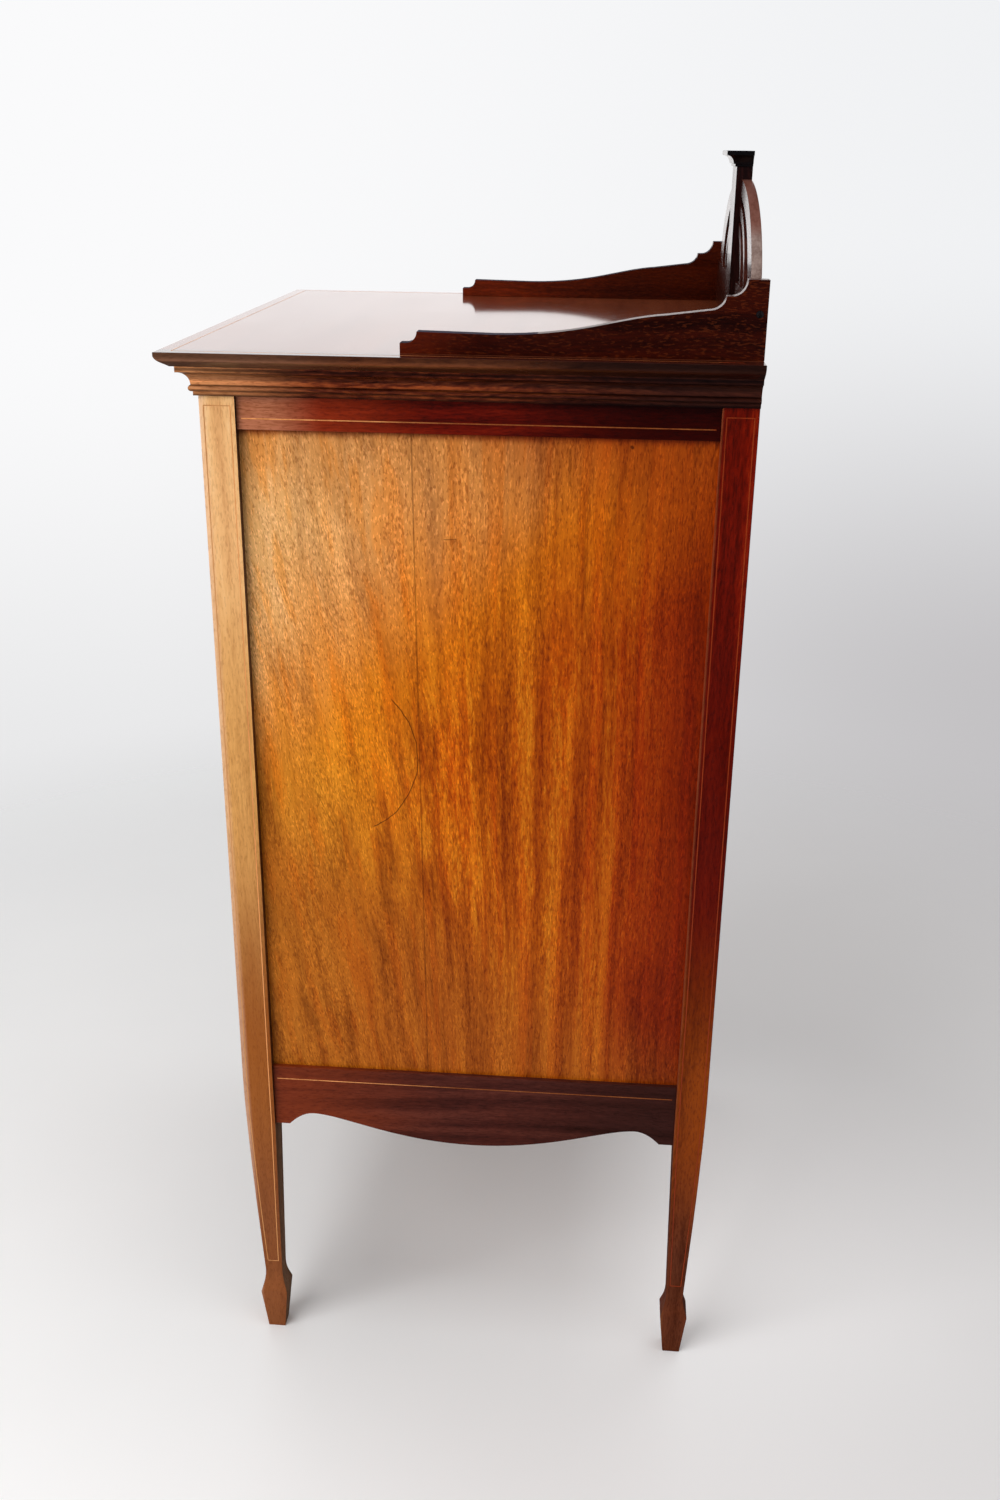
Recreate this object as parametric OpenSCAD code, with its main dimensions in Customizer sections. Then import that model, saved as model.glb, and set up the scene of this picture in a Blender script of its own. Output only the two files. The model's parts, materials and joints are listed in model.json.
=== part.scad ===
// Music cabinet: square tapered legs with spade feet, framed side panels, shaped aprons,
// a moulded top with a low gallery and an arched, pierced gallery back, and one hinged door.
// Millimetres. The origin is on the floor under the middle of the top, +Z is up and the door faces -Y.

/* [Overall] */
// Width of the top, over its moulded edges
top_w = 510; // [480:1:640]
// Depth of the top, over its moulded front edge
top_d = 440; // [400:1:520]
// Height of the top surface above the floor
top_h = 930; // [880:1:1000]
// Thickness of the top board
top_t = 11; // [10:0.5:14]
// How far the top stands out past the legs at the front and the sides
overhang = 25; // [22:0.5:32]

/* [Legs] */
// Side of the square leg above its taper
leg_sq = 27; // [26:0.5:32]
// Height at which the outer faces of a leg start to curve in
taper_z = 290; // [260:1:330]
// How far the two outer faces of a leg curve in, down to the neck
taper_outer = 8; // [5:0.5:9]
// How far the two inner faces of a leg taper in, below the apron and down to the neck
taper_inner = 3; // [1:0.5:4]
// Height of the neck above the spade foot
neck_z = 68; // [60:1:85]
// Height of the widest line of the spade foot
spade_z = 45; // [36:1:52]
// Widest side of the spade foot
spade_w = 25; // [20:0.5:27]
// Side of the spade foot where it stands on the floor
foot_w = 16; // [12:0.5:18]

/* [Framing] */
// Thickness of the rails and aprons
rail_t = 20; // [19:0.5:22]
// How far the front and back rails lie behind the leg faces
rail_set = 2; // [1:0.25:3]
// How far the side rails and aprons lie behind the leg faces
side_set = 4; // [3:0.25:5]
// Height of the top rails, up to the underside of the top board
top_rail_h = 48; // [40:1:60]
// Height of the apron beside a leg
apron_h = 61.5; // [56:0.5:70]
// Height of the apron's top edge above the floor
apron_top = 304; // [280:1:330]
// Length of the flat at each end of an apron
apron_flat = 13; // [8:0.5:18]
// Length of the small hollow beside that flat
hollow_w = 22; // [16:0.5:28]
// Rise of the hollow above the flat
hollow_h = 12.5; // [8:0.5:16]
// How far the middle of an apron drops below the flats
apron_dip = 12.5; // [6:0.5:20]
// Height of the plain back rail at the bottom
back_rail_h = 42; // [36:1:50]
// Length of a tenon
tenon_l = 9.5; // [7:0.5:10]
// Thickness of a tenon
tenon_t = 6; // [5:0.5:7]
// Shoulder above and below a tenon
shoulder = 9; // [7:0.5:11]

/* [Panels] */
// Thickness of the side panels and back boards
panel_t = 8; // [6:0.5:9]
// How far the panels lie behind the leg faces
panel_set = 8; // [7:0.25:9]
// Depth of the panel grooves
groove = 5; // [4:0.5:6]
// Play left at the bottom of each groove and mortise
groove_play = 0.5; // [0.3:0.1:1]
// Thickness of the bottom board
floor_t = 12; // [10:0.5:14]
// Side of the square strips that carry the bottom board
cleat = 14; // [10:0.5:16]

/* [Cornice] */
// Height of the moulding under the top
cornice_h = 22.5; // [20:0.5:26]
// How far the moulding's top fillet stands out past the legs
cornice_out = 13; // [12:0.25:15]
// Height of the top fillet
cornice_fillet = 4.6; // [3.5:0.1:5.5]
// Width of the cove
cove_w = 8.8; // [7.5:0.1:9]
// Height of the cove
cove_h = 9.8; // [8:0.1:10.5]
// Radius of the bead under the cove
bead_r = 2.5; // [2:0.1:2.8]
// Thickness of the square lip round the top board
lip = 3; // [2:0.25:4]
// Width of the sloped round under that lip
edge_round = 9; // [6:0.5:11]

/* [Gallery] */
// Thickness of the two side rails of the gallery
rail_g_t = 12; // [10:0.5:14]
// How far those rails stand in from the edge of the top
rail_g_in = 23; // [18:0.5:30]
// Length of those rails, from the back edge of the top
rail_g_l = 263; // [230:1:300]
// Height of the rails at the front
rail_g_low = 15.5; // [14:0.5:18]
// Height of the blunt front end, under its hollow
rail_g_nose = 7.5; // [5:0.5:9]
// Height of the rails where the sweep ends
rail_g_mid = 34; // [30:0.5:36]
// Height of the small ledge near the back
rail_g_ledge = 44; // [42:0.5:46]
// Height of the rails at the back
rail_g_high = 55.5; // [52:0.5:60]
// Length of the flat at the back end
rail_g_flat = 14; // [11:0.5:18]
// Thickness of the pierced back
fret_t = 8; // [7:0.5:10]
// How far the pierced back lies in front of the rail ends
fret_set = 1.5; // [1:0.25:3.5]
// Height of the plain rail under the pierced back
fret_rail_h = 38; // [33:1:43]
// Height of the arch above the top board
arch_h = 118; // [96:1:126]
// Half width of the arch at its foot
arch_half = 184; // [175:1:200]
// Width of the arch band at its crown
band_top = 13; // [10:0.5:18]
// Width of the arch band where it springs
band_side = 36; // [29:0.5:41]
// Gap between the arch and the curved bars at the middle
bar_gap = 5; // [3:0.25:8]
// Width of each curved bar
bar_w = 8.5; // [6:0.25:10]
// Half width of the outer curved bar at its foot
bar_outer = 114; // [103:1:133]
// Half width of the inner curved bar at its foot
bar_inner = 77; // [59:1:92]
// Width of the middle post
post_w = 47; // [40:0.5:60]
// Thickness of the middle post
post_t = 13; // [12:0.25:15]
// How far the middle post lies in front of the rail ends
post_set = 1; // [0.5:0.25:1.5]
// Height of the middle post above the top board
post_h = 127; // [118:1:140]
// How far below the top of the gallery's back rail its end screws lie
g_screw_down = 6; // [5:0.5:10]
// How far the cap stands out past the post
cap_out = 9; // [7:0.25:12]
// Height of the whole cap
cap_h = 12; // [10:0.5:16]
// Thickness of the square slab at the top of the cap
cap_slab = 3.5; // [2.5:0.25:4.5]

/* [Door] */
// Thickness of the door frame
door_t = 20; // [19:0.5:22]
// Gap all round the door
door_gap = 1; // [0.8:0.1:2]
// Width of the door stiles
stile_w = 48; // [46:0.5:60]
// Width of the top rail of the door
door_rail_w = 48; // [42:0.5:60]
// Width of the bottom rail of the door
door_foot_w = 60; // [50:0.5:75]
// Length of the tenons on the door rails
door_tenon = 24; // [16:0.5:28]
// Width of the small moulding round the door panel
bead_w = 6; // [4:0.5:8]
// Section of the strip that the door closes against
stop_w = 8; // [6:0.5:9]

/* [Hinges] */
// Height of each hinge
hinge_h = 50; // [44:1:60]
// Width of a hinge leaf behind the leg face
leaf_w = 16; // [14:0.5:17]
// Thickness of a hinge leaf
leaf_t = 1.6; // [1.2:0.1:1.8]
// Radius of the hinge knuckle
knuckle_r = 2.6; // [2.4:0.05:2.8]
// Radius of the hinge pin
pin_r = 1.3; // [1.1:0.05:1.4]
// Running clearance round the hinge pin
pin_play = 0.05; // [0.03:0.01:0.08]
// Play between two knuckles along the pin
knuckle_play = 0.2; // [0.15:0.05:0.4]
// Distance of each hinge's middle from the end of the door
hinge_in = 85; // [70:1:130]

/* [Lock] */
// Width of the lock case, in from the door's edge
lock_w = 36; // [34:0.5:40]
// Height of the lock case
lock_h = 56; // [50:1:70]
// Depth of the lock case, in from the door's inner face
lock_d = 11; // [10.5:0.5:12]
// Thickness of the lock case's walls
lock_wall = 1.2; // [1:0.1:1.5]
// Distance of the key from the door's edge
backset = 20; // [17:0.5:22]
// Height of the bolt
bolt_h = 9; // [7:0.5:11]
// Thickness of the bolt
bolt_t = 6; // [5:0.25:7]
// Length of the bolt
bolt_l = 26; // [20:0.5:27]
// How far the bolt goes out
bolt_throw = 7; // [5:0.5:7.5]
// Radius of the key's shank
shank_r = 2.2; // [1.8:0.1:2.5]
// Reach of the key's bit from the shank's axis
bit_l = 8; // [6.5:0.25:8.5]
// Outer radius of the key's round bow
bow_r = 8.5; // [7.5:0.25:9]
// Radius of the plate round the keyhole
plate_r = 12; // [11:0.5:15]

/* [Shelves] */
// Thickness of a shelf
shelf_t = 9; // [7:0.5:12]
// Height of the strips that carry a shelf
bearer_h = 10; // [8:0.5:14]
// How far those strips reach in past the legs
bearer_in = 10; // [7:0.5:14]
// Play between a shelf and the legs
shelf_play = 1; // [0.5:0.1:2]
// How far the shelves start behind the door's stop
shelf_set = 5; // [3:0.5:12]

/* [Hidden] */
$fn = 48;

// Shared planes
body_x = top_w / 2 - overhang;
front_y = -top_d / 2 + overhang;
back_y = top_d / 2;
carcass_top = top_h - top_t;
leg_in_x = body_x - leg_sq;
leg_in_front = front_y + leg_sq;
leg_in_back = back_y - leg_sq;
rail_in_x = body_x - side_set - rail_t;
rail_in_front = front_y + rail_set + rail_t;
rail_in_back = back_y - rail_set - rail_t;
panel_top = carcass_top - top_rail_h;
apron_low = apron_top - apron_h;
groove_fit = groove - groove_play;
side_span = leg_in_back - leg_in_front;
front_span = 2 * leg_in_x;
mortise_play = 0.1;

// Leg outline, as distance in from an outer face
foot_mid = (leg_sq + taper_outer - taper_inner) / 2;

// Door
door_x = leg_in_x - door_gap;
door_face = front_y + rail_set;
door_back = door_face + door_t;
door_z0 = apron_top + door_gap;
door_z1 = panel_top - door_gap;
door_mid_z = (door_z0 + door_z1) / 2;
door_panel_y = door_face + (door_t - panel_t) / 2;
bead_h = 0.8 * bead_w;
stop_gap = 0.3;

// Hinges
pin_x = leg_in_x - door_gap / 2;
pin_y = front_y - 2;
hinge_zs = [door_z1 - hinge_in, door_z0 + hinge_in];
knuckles = 5;
knuckle_h = hinge_h / knuckles;
screw_r = 1.4;
screw_head_r = 2.7;
screw_head_h = 1.3;
screw_l = 14;
hole_play = 0.1;
screw_zs = [-hinge_h * 0.33, 0, hinge_h * 0.33];
screw_y = front_y + leaf_w * 0.55;

// Lock
lock_z = door_mid_z;
bolt_play = 0.15;
bolt_y = door_back - lock_d / 2;
bolt_z = lock_z + lock_h / 4;
key_x = -door_x + backset;
key_z = lock_z - lock_h / 12;
keyhole_r = shank_r + 0.4;
bit_t = 1.6;
bit_w = 5.5;
key_end = door_back - lock_wall - 0.8;
plate_t = 1.2;
bow_y = door_face - plate_t - 7;
bow_ring = 2.2;
bow_t = 2.6;
strike_t = 1.5;
strike_h = lock_h * 0.7;
strike_w = 14;
strike_depth = bolt_throw + 2;

// Shelves
shelf_count = 5;
shelf_pitch = (panel_top - apron_top) / (shelf_count + 1);
shelf_x = leg_in_x - shelf_play;
shelf_front = door_back + stop_gap + stop_w + shelf_set;
shelf_back = back_y - panel_set - panel_t - shelf_play;
bearer_x = leg_in_x - bearer_in;
panel_in_x = body_x - panel_set - panel_t;

// Gallery
rail_g_x = top_w / 2 - rail_g_in;
rail_g_inx = rail_g_x - rail_g_t;
rail_g_front = back_y - rail_g_l;
fret_back = back_y - fret_set;
fret_front = fret_back - fret_t;
arch_base = top_h + fret_rail_h;
arch_b = arch_h - fret_rail_h;
post_x = post_w / 2;
post_back = back_y - post_set;
post_front = post_back - post_t;
g_screw_r = 1.3;
g_screw_head = 2.6;
g_screw_l = 24;
g_screw_y = (fret_front + fret_back) / 2;
g_screw_z = arch_base - g_screw_down;

// Colours
leg_wood = [0.50, 0.27, 0.13];
dark_wood = [0.30, 0.10, 0.06];
panel_wood = [0.76, 0.42, 0.13];
inner_wood = [0.62, 0.40, 0.22];
brass = [0.80, 0.62, 0.28];
steel = [0.45, 0.45, 0.46];

// Points along a cubic curve from a to d, pulled towards b and c
function curve(a, b, c, d, n = 14) = [
    for (i = [0:n])
        let (t = i / n, s = 1 - t)
        a * s * s * s + b * 3 * s * s * t + c * 3 * s * t * t + d * t * t * t
];

// Points of a quarter ellipse or longer arc about a centre
function arc(c, rx, rz, a0, a1, n = 12) = [
    for (i = [0:n])
        let (t = a0 + (a1 - a0) * i / n)
        [c[0] + rx * cos(t), c[1] + rz * sin(t)]
];

// The same points seen in a mirror at half the span
function flipped(pts, span) = [for (i = [len(pts) - 1:-1:0]) [span - pts[i][0], pts[i][1]]];

// Extrudes a Y-Z outline along X, between two X planes
module along_x(x0, x1) {
    translate([x0, 0, 0])
        rotate([90, 0, 90])
            linear_extrude(x1 - x0)
                children();
}

// Extrudes an X-Z outline along Y, between two Y planes
module along_y(y0, y1) {
    translate([0, y1, 0])
        rotate([90, 0, 0])
            linear_extrude(y1 - y0)
                children();
}

// A box between two corners
module block(lo, hi) {
    translate(lo)
        cube(hi - lo);
}

// The mirror image across the middle of the cabinet
module left_of() {
    mirror([1, 0, 0])
        children();
}

// Outer side of a leg, from the start of its taper to the neck: slow at first, then steeper
function leg_taper(n = 10) = [
    for (i = [0:n])
        let (t = i / n)
        [taper_outer * pow(t, 1.4), taper_z + (neck_z - taper_z) * t]
];

// Hollow sweep of the spade foot, from the neck out to its widest line
function leg_flare(neck_x, wide_x) =
    let (h = neck_z - spade_z, w = wide_x - neck_x)
    curve([neck_x, neck_z], [neck_x, neck_z - 0.45 * h], [neck_x + 0.6 * w, spade_z + 0.3 * h],
        [wide_x, spade_z], 5);

// Leg with its outer corner on the Z axis, reaching towards +X and +Y
function leg_outline() =
    let (
        half = spade_w / 2,
        low = foot_w / 2,
        inner = leg_flare(leg_sq - taper_inner, foot_mid + half)
    )
    concat(
        [[0, carcass_top]],
        leg_taper(),
        leg_flare(taper_outer, foot_mid - half),
        [[foot_mid - low, 0], [foot_mid + low, 0]],
        [for (i = [len(inner) - 1:-1:0]) inner[i]],
        [[leg_sq, apron_low], [leg_sq, carcass_top]]
    );

module leg_blank() {
    intersection() {
        along_y(-leg_sq, 2 * leg_sq)
            polygon(leg_outline());
        along_x(-leg_sq, 2 * leg_sq)
            polygon(leg_outline());
    }
}

// Mortise in a leg's inner Y face, for a rail that runs along Y
module side_mortise(z0, z1) {
    t0 = side_set + (rail_t - tenon_t) / 2 - mortise_play;
    block([t0, leg_sq - tenon_l - groove_play, z0 + shoulder - mortise_play],
        [t0 + tenon_t + 2 * mortise_play, leg_sq + 1, z1 - shoulder + mortise_play]);
}

// Mortise in a leg's inner X face, for a rail that runs along X
module cross_mortise(z0, z1) {
    t0 = rail_set + (rail_t - tenon_t) / 2 - mortise_play;
    block([leg_sq - tenon_l - groove_play, t0, z0 + shoulder - mortise_play],
        [leg_sq + 1, t0 + tenon_t + 2 * mortise_play, z1 - shoulder + mortise_play]);
}

// Leg with what every corner shares: two side mortises, two cross mortises and the panel groove
module leg_joined(cross_low) {
    difference() {
        leg_blank();
        side_mortise(panel_top, carcass_top);
        side_mortise(apron_low, apron_top);
        cross_mortise(panel_top, carcass_top);
        cross_mortise(cross_low, apron_top);
        block([panel_set, leg_sq - groove, apron_top - groove],
            [panel_set + panel_t, leg_sq + 1, panel_top + groove]);
    }
}

module leg_back_local() {
    difference() {
        leg_joined(apron_top - back_rail_h);
        block([leg_sq - groove, panel_set, apron_top - groove],
            [leg_sq + 1, panel_set + panel_t, panel_top + groove]);
    }
}

// Hole for a countersunk screw that goes in along +X from the plane x = 0
module screw_hole_x(l) {
    rotate([0, 90, 0]) {
        translate([0, 0, -1])
            cylinder(r = screw_r + hole_play, h = l + 1.5);
        translate([0, 0, -0.01])
            cylinder(r1 = screw_head_r + hole_play, r2 = screw_r + hole_play, h = screw_head_h + hole_play);
    }
}

// Countersunk slotted screw that goes in along +X from the plane x = 0
module screw_x(l) {
    difference() {
        rotate([0, 90, 0]) {
            cylinder(r = screw_r, h = l - 2);
            cylinder(r1 = screw_head_r, r2 = screw_r, h = screw_head_h);
            translate([0, 0, l - 2])
                cylinder(r1 = screw_r, r2 = 0.4, h = 2);
        }
        block([-1, -0.35, -screw_head_r - 1], [0.6, 0.35, screw_head_r + 1]);
    }
}

module leg_front_right() {
    color(leg_wood)
        difference() {
            translate([body_x, front_y, 0])
                mirror([1, 0, 0])
                    leg_joined(apron_low);
            for (z = hinge_zs) {
                block([leg_in_x - 1, front_y - 1, z - hinge_h / 2],
                    [leg_in_x + leaf_t, front_y + leaf_w, z + hinge_h / 2]);
                for (dz = screw_zs)
                    translate([leg_in_x, screw_y, z + dz])
                        screw_hole_x(screw_l);
            }
        }
}

module leg_front_left() {
    color(leg_wood)
        difference() {
            translate([-body_x, front_y, 0])
                leg_joined(apron_low);
            block([-leg_in_x - strike_depth, bolt_y - bolt_t / 2 - 1, bolt_z - bolt_h / 2 - 1],
                [-leg_in_x + 1, bolt_y + bolt_t / 2 + 1, bolt_z + bolt_h / 2 + 1]);
            block([-leg_in_x - strike_t, bolt_y - strike_w / 2, bolt_z - strike_h / 2],
                [-leg_in_x + 1, bolt_y + strike_w / 2, bolt_z + strike_h / 2]);
        }
}

module leg_back_right() {
    color(leg_wood)
        translate([body_x, back_y, 0])
            mirror([1, 0, 0])
                mirror([0, 1, 0])
                    leg_back_local();
}

module leg_back_left() {
    color(leg_wood)
        translate([-body_x, back_y, 0])
            mirror([0, 1, 0])
                leg_back_local();
}

// Side panel, with a tongue on all four edges
module side_panel_right() {
    color(panel_wood)
        block([panel_in_x, leg_in_front - groove_fit, apron_top - groove_fit],
            [panel_in_x + panel_t, leg_in_back + groove_fit, panel_top + groove_fit]);
}

module side_panel_left() {
    left_of()
        side_panel_right();
}

// Tenons at both ends of a rail that runs along Y
module side_tenons(z0, z1) {
    x1 = body_x - side_set - (rail_t - tenon_t) / 2;
    block([x1 - tenon_t, leg_in_front - tenon_l, z0 + shoulder],
        [x1, leg_in_back + tenon_l, z1 - shoulder]);
}

// Tenons at both ends of a rail that runs along X at the front
module front_tenons(z0, z1) {
    y0 = front_y + rail_set + (rail_t - tenon_t) / 2;
    block([-leg_in_x - tenon_l, y0, z0 + shoulder], [leg_in_x + tenon_l, y0 + tenon_t, z1 - shoulder]);
}

// Tenons at both ends of a rail that runs along X at the back
module back_tenons(z0, z1) {
    y1 = back_y - rail_set - (rail_t - tenon_t) / 2;
    block([-leg_in_x - tenon_l, y1 - tenon_t, z0 + shoulder], [leg_in_x + tenon_l, y1, z1 - shoulder]);
}

// Groove room for a side panel in the edge of a rail
module side_groove(z0, z1) {
    block([panel_in_x - 0.05, leg_in_front - 20, z0], [panel_in_x + panel_t + 0.05, leg_in_back + 20, z1]);
}

module side_top_rail_right() {
    color(dark_wood)
        difference() {
            union() {
                block([rail_in_x, leg_in_front, panel_top], [body_x - side_set, leg_in_back, carcass_top]);
                side_tenons(panel_top, carcass_top);
            }
            side_groove(panel_top - 1, panel_top + groove);
        }
}

module side_top_rail_left() {
    left_of()
        side_top_rail_right();
}

// Lower edge of an apron from 0 to the middle of its span, as height over the flats
function apron_half(span) = concat(
    [[0, 0]],
    curve([apron_flat, 0], [apron_flat + hollow_w * 0.21, hollow_h * 0.4],
        [apron_flat + hollow_w * 0.57, hollow_h], [apron_flat + hollow_w, hollow_h], 8),
    curve([apron_flat + hollow_w, hollow_h], [apron_flat + hollow_w + span * 0.075, hollow_h],
        [span * 0.3, -apron_dip], [span / 2, -apron_dip], 18)
);

// Outline of an apron over its span, on the height of the flats
module apron_outline(span) {
    half = apron_half(span);
    translate([-span / 2, apron_low])
        polygon(concat(half, flipped(half, span), [[span, apron_h], [0, apron_h]]));
}

module side_apron_right() {
    color(dark_wood)
        difference() {
            union() {
                along_x(rail_in_x, body_x - side_set)
                    translate([(leg_in_front + leg_in_back) / 2, 0])
                        apron_outline(side_span);
                side_tenons(apron_low, apron_top);
            }
            side_groove(apron_top - groove, apron_top + 1);
        }
}

module side_apron_left() {
    left_of()
        side_apron_right();
}

module front_top_rail() {
    color(dark_wood) {
        block([-leg_in_x, front_y + rail_set, panel_top], [leg_in_x, rail_in_front, carcass_top]);
        front_tenons(panel_top, carcass_top);
    }
}

module front_apron() {
    color(dark_wood) {
        along_y(front_y + rail_set, rail_in_front)
            apron_outline(front_span);
        front_tenons(apron_low, apron_top);
    }
}

// Groove room for the back boards in the edge of a rail
module back_groove(z0, z1) {
    block([-leg_in_x - 20, back_y - panel_set - panel_t - 0.05, z0],
        [leg_in_x + 20, back_y - panel_set + 0.05, z1]);
}

module back_top_rail() {
    color(inner_wood)
        difference() {
            union() {
                block([-leg_in_x, rail_in_back, panel_top], [leg_in_x, back_y - rail_set, carcass_top]);
                back_tenons(panel_top, carcass_top);
            }
            back_groove(panel_top - 1, panel_top + groove);
        }
}

module back_bottom_rail() {
    color(inner_wood)
        difference() {
            union() {
                block([-leg_in_x, rail_in_back, apron_top - back_rail_h],
                    [leg_in_x, back_y - rail_set, apron_top]);
                back_tenons(apron_top - back_rail_h, apron_top);
            }
            back_groove(apron_top - groove, apron_top + 1);
        }
}

// One of three upright back boards, counted from the left, with a small bevel at each edge
module back_board(i) {
    w = 2 * (leg_in_x + groove_fit) / 3;
    x0 = -leg_in_x - groove_fit + i * w;
    y1 = back_y - panel_set;
    bevel = 1.5;
    color(inner_wood)
        translate([0, 0, apron_top - groove_fit])
            linear_extrude(panel_top - apron_top + 2 * groove_fit)
                polygon([
                    [x0, y1 - panel_t], [x0 + w, y1 - panel_t], [x0 + w, y1 - bevel],
                    [x0 + w - bevel, y1], [x0 + bevel, y1], [x0, y1 - bevel]
                ]);
}

module back_board_left() {
    back_board(0);
}

module back_board_middle() {
    back_board(1);
}

module back_board_right() {
    back_board(2);
}

// Bottom board, notched round the legs
module bottom_board() {
    color(inner_wood) {
        block([-leg_in_x, rail_in_front, apron_top - floor_t], [leg_in_x, rail_in_back, apron_top]);
        block([-rail_in_x, leg_in_front, apron_top - floor_t], [rail_in_x, leg_in_back, apron_top]);
    }
}

// Strips under the bottom board, glued to the inner faces of the aprons and the back rail
module bottom_cleats() {
    z1 = apron_top - floor_t;
    color(inner_wood) {
        for (s = [0, 1])
            mirror([s, 0, 0])
                block([rail_in_x - cleat, leg_in_front, z1 - cleat], [rail_in_x, leg_in_back, z1]);
        block([-rail_in_x + 2 * cleat, rail_in_front, z1 - cleat],
            [rail_in_x - 2 * cleat, rail_in_front + cleat, z1]);
        block([-rail_in_x + 2 * cleat, rail_in_back - cleat, z1 - cleat],
            [rail_in_x - 2 * cleat, rail_in_back, z1]);
    }
}

// Half of the top board's section: a square lip over a sloped round
function board_edge() = concat(
    [[0, top_h], [0, top_h - lip]],
    curve([0, top_h - lip], [-edge_round * 0.15, top_h - lip - (top_t - lip) * 0.55],
        [-edge_round * 0.7, carcass_top + (top_t - lip) * 0.3], [-edge_round, carcass_top], 10)
);

module top_board() {
    edge = board_edge();
    right = [for (p = edge) [top_w / 2 + p[0], p[1]]];
    left = [for (i = [len(edge) - 1:-1:0]) [-top_w / 2 - edge[i][0], edge[i][1]]];
    front = [for (i = [len(edge) - 1:-1:0]) [-top_d / 2 - edge[i][0], edge[i][1]]];
    color(dark_wood)
        intersection() {
            along_y(-top_d / 2, back_y)
                polygon(concat(right, left));
            along_x(-top_w / 2, top_w / 2)
                polygon(concat(front, [[back_y, top_h], [back_y, carcass_top]]));
        }
}

// Three-cornered blocks glued under the top board, along the side and the front rails
module glue_blocks() {
    block_l = 40;
    block_s = 14;
    color(inner_wood) {
        for (s = [0, 1])
            mirror([s, 0, 0])
                for (k = [0.2, 0.5, 0.8])
                    along_y(leg_in_front + side_span * k - block_l / 2,
                        leg_in_front + side_span * k + block_l / 2)
                        polygon([[rail_in_x, carcass_top], [rail_in_x - block_s, carcass_top],
                            [rail_in_x, carcass_top - block_s]]);
        for (k = [-0.3, 0.3])
            along_x(front_span * k - block_l / 2, front_span * k + block_l / 2)
                polygon([[rail_in_front, carcass_top], [rail_in_front + block_s, carcass_top],
                    [rail_in_front, carcass_top - block_s]]);
    }
}

// Section of the cornice: distance out from the leg face, height above its lower edge
function cornice_section() =
    let (
        fillet_h = cornice_h - cornice_fillet - cove_h - 2 * bead_r,
        cove_z = cornice_h - cornice_fillet - cove_h,
        cove_x = cornice_out - cove_w
    )
    concat(
        [[0, 0], [bead_r + 0.5, 0], [bead_r + 0.5, fillet_h]],
        arc([cove_x - 0.8, fillet_h + bead_r], bead_r, bead_r, -90, 90, 10),
        arc([cornice_out, cove_z], cove_w, cove_h, 180, 90, 12),
        [[cornice_out, cornice_h], [0, cornice_h]]
    );

// Length of cornice moulding along +X from x0 to x1, standing out towards -Y from the leg face
module cornice_run(x0, x1) {
    translate([x0, 0, carcass_top - cornice_h])
        rotate([90, 0, 90])
            linear_extrude(x1 - x0)
                mirror([1, 0])
                    polygon(cornice_section());
}

// What the mitre at the right front corner takes off, on the side that the angle points to
module mitre_off(angle) {
    reach = 4 * cornice_out;
    translate([body_x, front_y, carcass_top - cornice_h - 1])
        rotate([0, 0, angle])
            translate([0, -reach, 0])
                cube([reach, 2 * reach, cornice_h + 2]);
}

module cornice_front() {
    far = body_x + cornice_out + 2;
    color(dark_wood)
        difference() {
            translate([0, front_y, 0])
                cornice_run(-far, far);
            mitre_off(45);
            left_of()
                mitre_off(45);
        }
}

module cornice_right() {
    color(dark_wood)
        difference() {
            translate([body_x, 0, 0])
                rotate([0, 0, 90])
                    cornice_run(front_y - cornice_out - 2, back_y);
            mitre_off(225);
        }
}

module cornice_left() {
    left_of()
        cornice_right();
}

// Outline of a gallery side rail: distance from its front end, height over the top board
function rail_g_outline() =
    let (
        nose_r = rail_g_low - rail_g_nose,
        end = rail_g_l,
        step2 = rail_g_high - rail_g_ledge,
        step1 = rail_g_ledge - rail_g_mid,
        x2 = end - rail_g_flat,
        x1 = x2 - step2 - 2,
        x0 = x1 - step1 - 2
    )
    concat(
        [[0, 0], [0, rail_g_nose]],
        arc([nose_r * 0.55, rail_g_low], nose_r, nose_r, -90, 0, 8),
        curve([rail_g_l * 0.26, rail_g_low - 1], [rail_g_l * 0.5, rail_g_low - 1],
            [rail_g_l * 0.59, rail_g_mid - 6.5], [rail_g_l * 0.73, rail_g_mid - 3.7], 16),
        arc([x0 - 2, rail_g_ledge], step1 + 2, step1, -90, 0, 8),
        arc([x1 + 2, rail_g_high], step2 - 1, step2, -90, 0, 8),
        [[x2, rail_g_high], [end, rail_g_high], [end, 0]]
    );

module gallery_rail_right() {
    color(dark_wood)
        difference() {
            along_x(rail_g_inx, rail_g_x)
                translate([rail_g_front, top_h])
                    polygon(rail_g_outline());
            translate([rail_g_x, g_screw_y, g_screw_z])
                mirror([1, 0, 0])
                    g_screw_room();
        }
}

module gallery_rail_left() {
    left_of()
        gallery_rail_right();
}

// Room for one gallery screw, going in along +X from the plane x = 0
module g_screw_room() {
    rotate([0, 90, 0]) {
        translate([0, 0, -1])
            cylinder(r = g_screw_r + hole_play, h = g_screw_l + 1.5);
        translate([0, 0, -1])
            cylinder(r = g_screw_head + hole_play, h = 2.5);
    }
}

// One gallery screw, with a flat slotted head sunk just under the wood
module g_screw() {
    difference() {
        rotate([0, 90, 0]) {
            translate([0, 0, 0.3])
                cylinder(r = g_screw_head, h = 1.2);
            translate([0, 0, 0.3])
                cylinder(r = g_screw_r, h = g_screw_l - 0.3);
        }
        block([-1, -0.35, -g_screw_head - 1], [0.8, 0.35, g_screw_head + 1]);
    }
}

module gallery_screws() {
    color(steel)
        for (s = [0, 1])
            mirror([s, 0, 0])
                translate([rail_g_x, g_screw_y, g_screw_z])
                    mirror([1, 0, 0])
                        g_screw();
}

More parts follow.
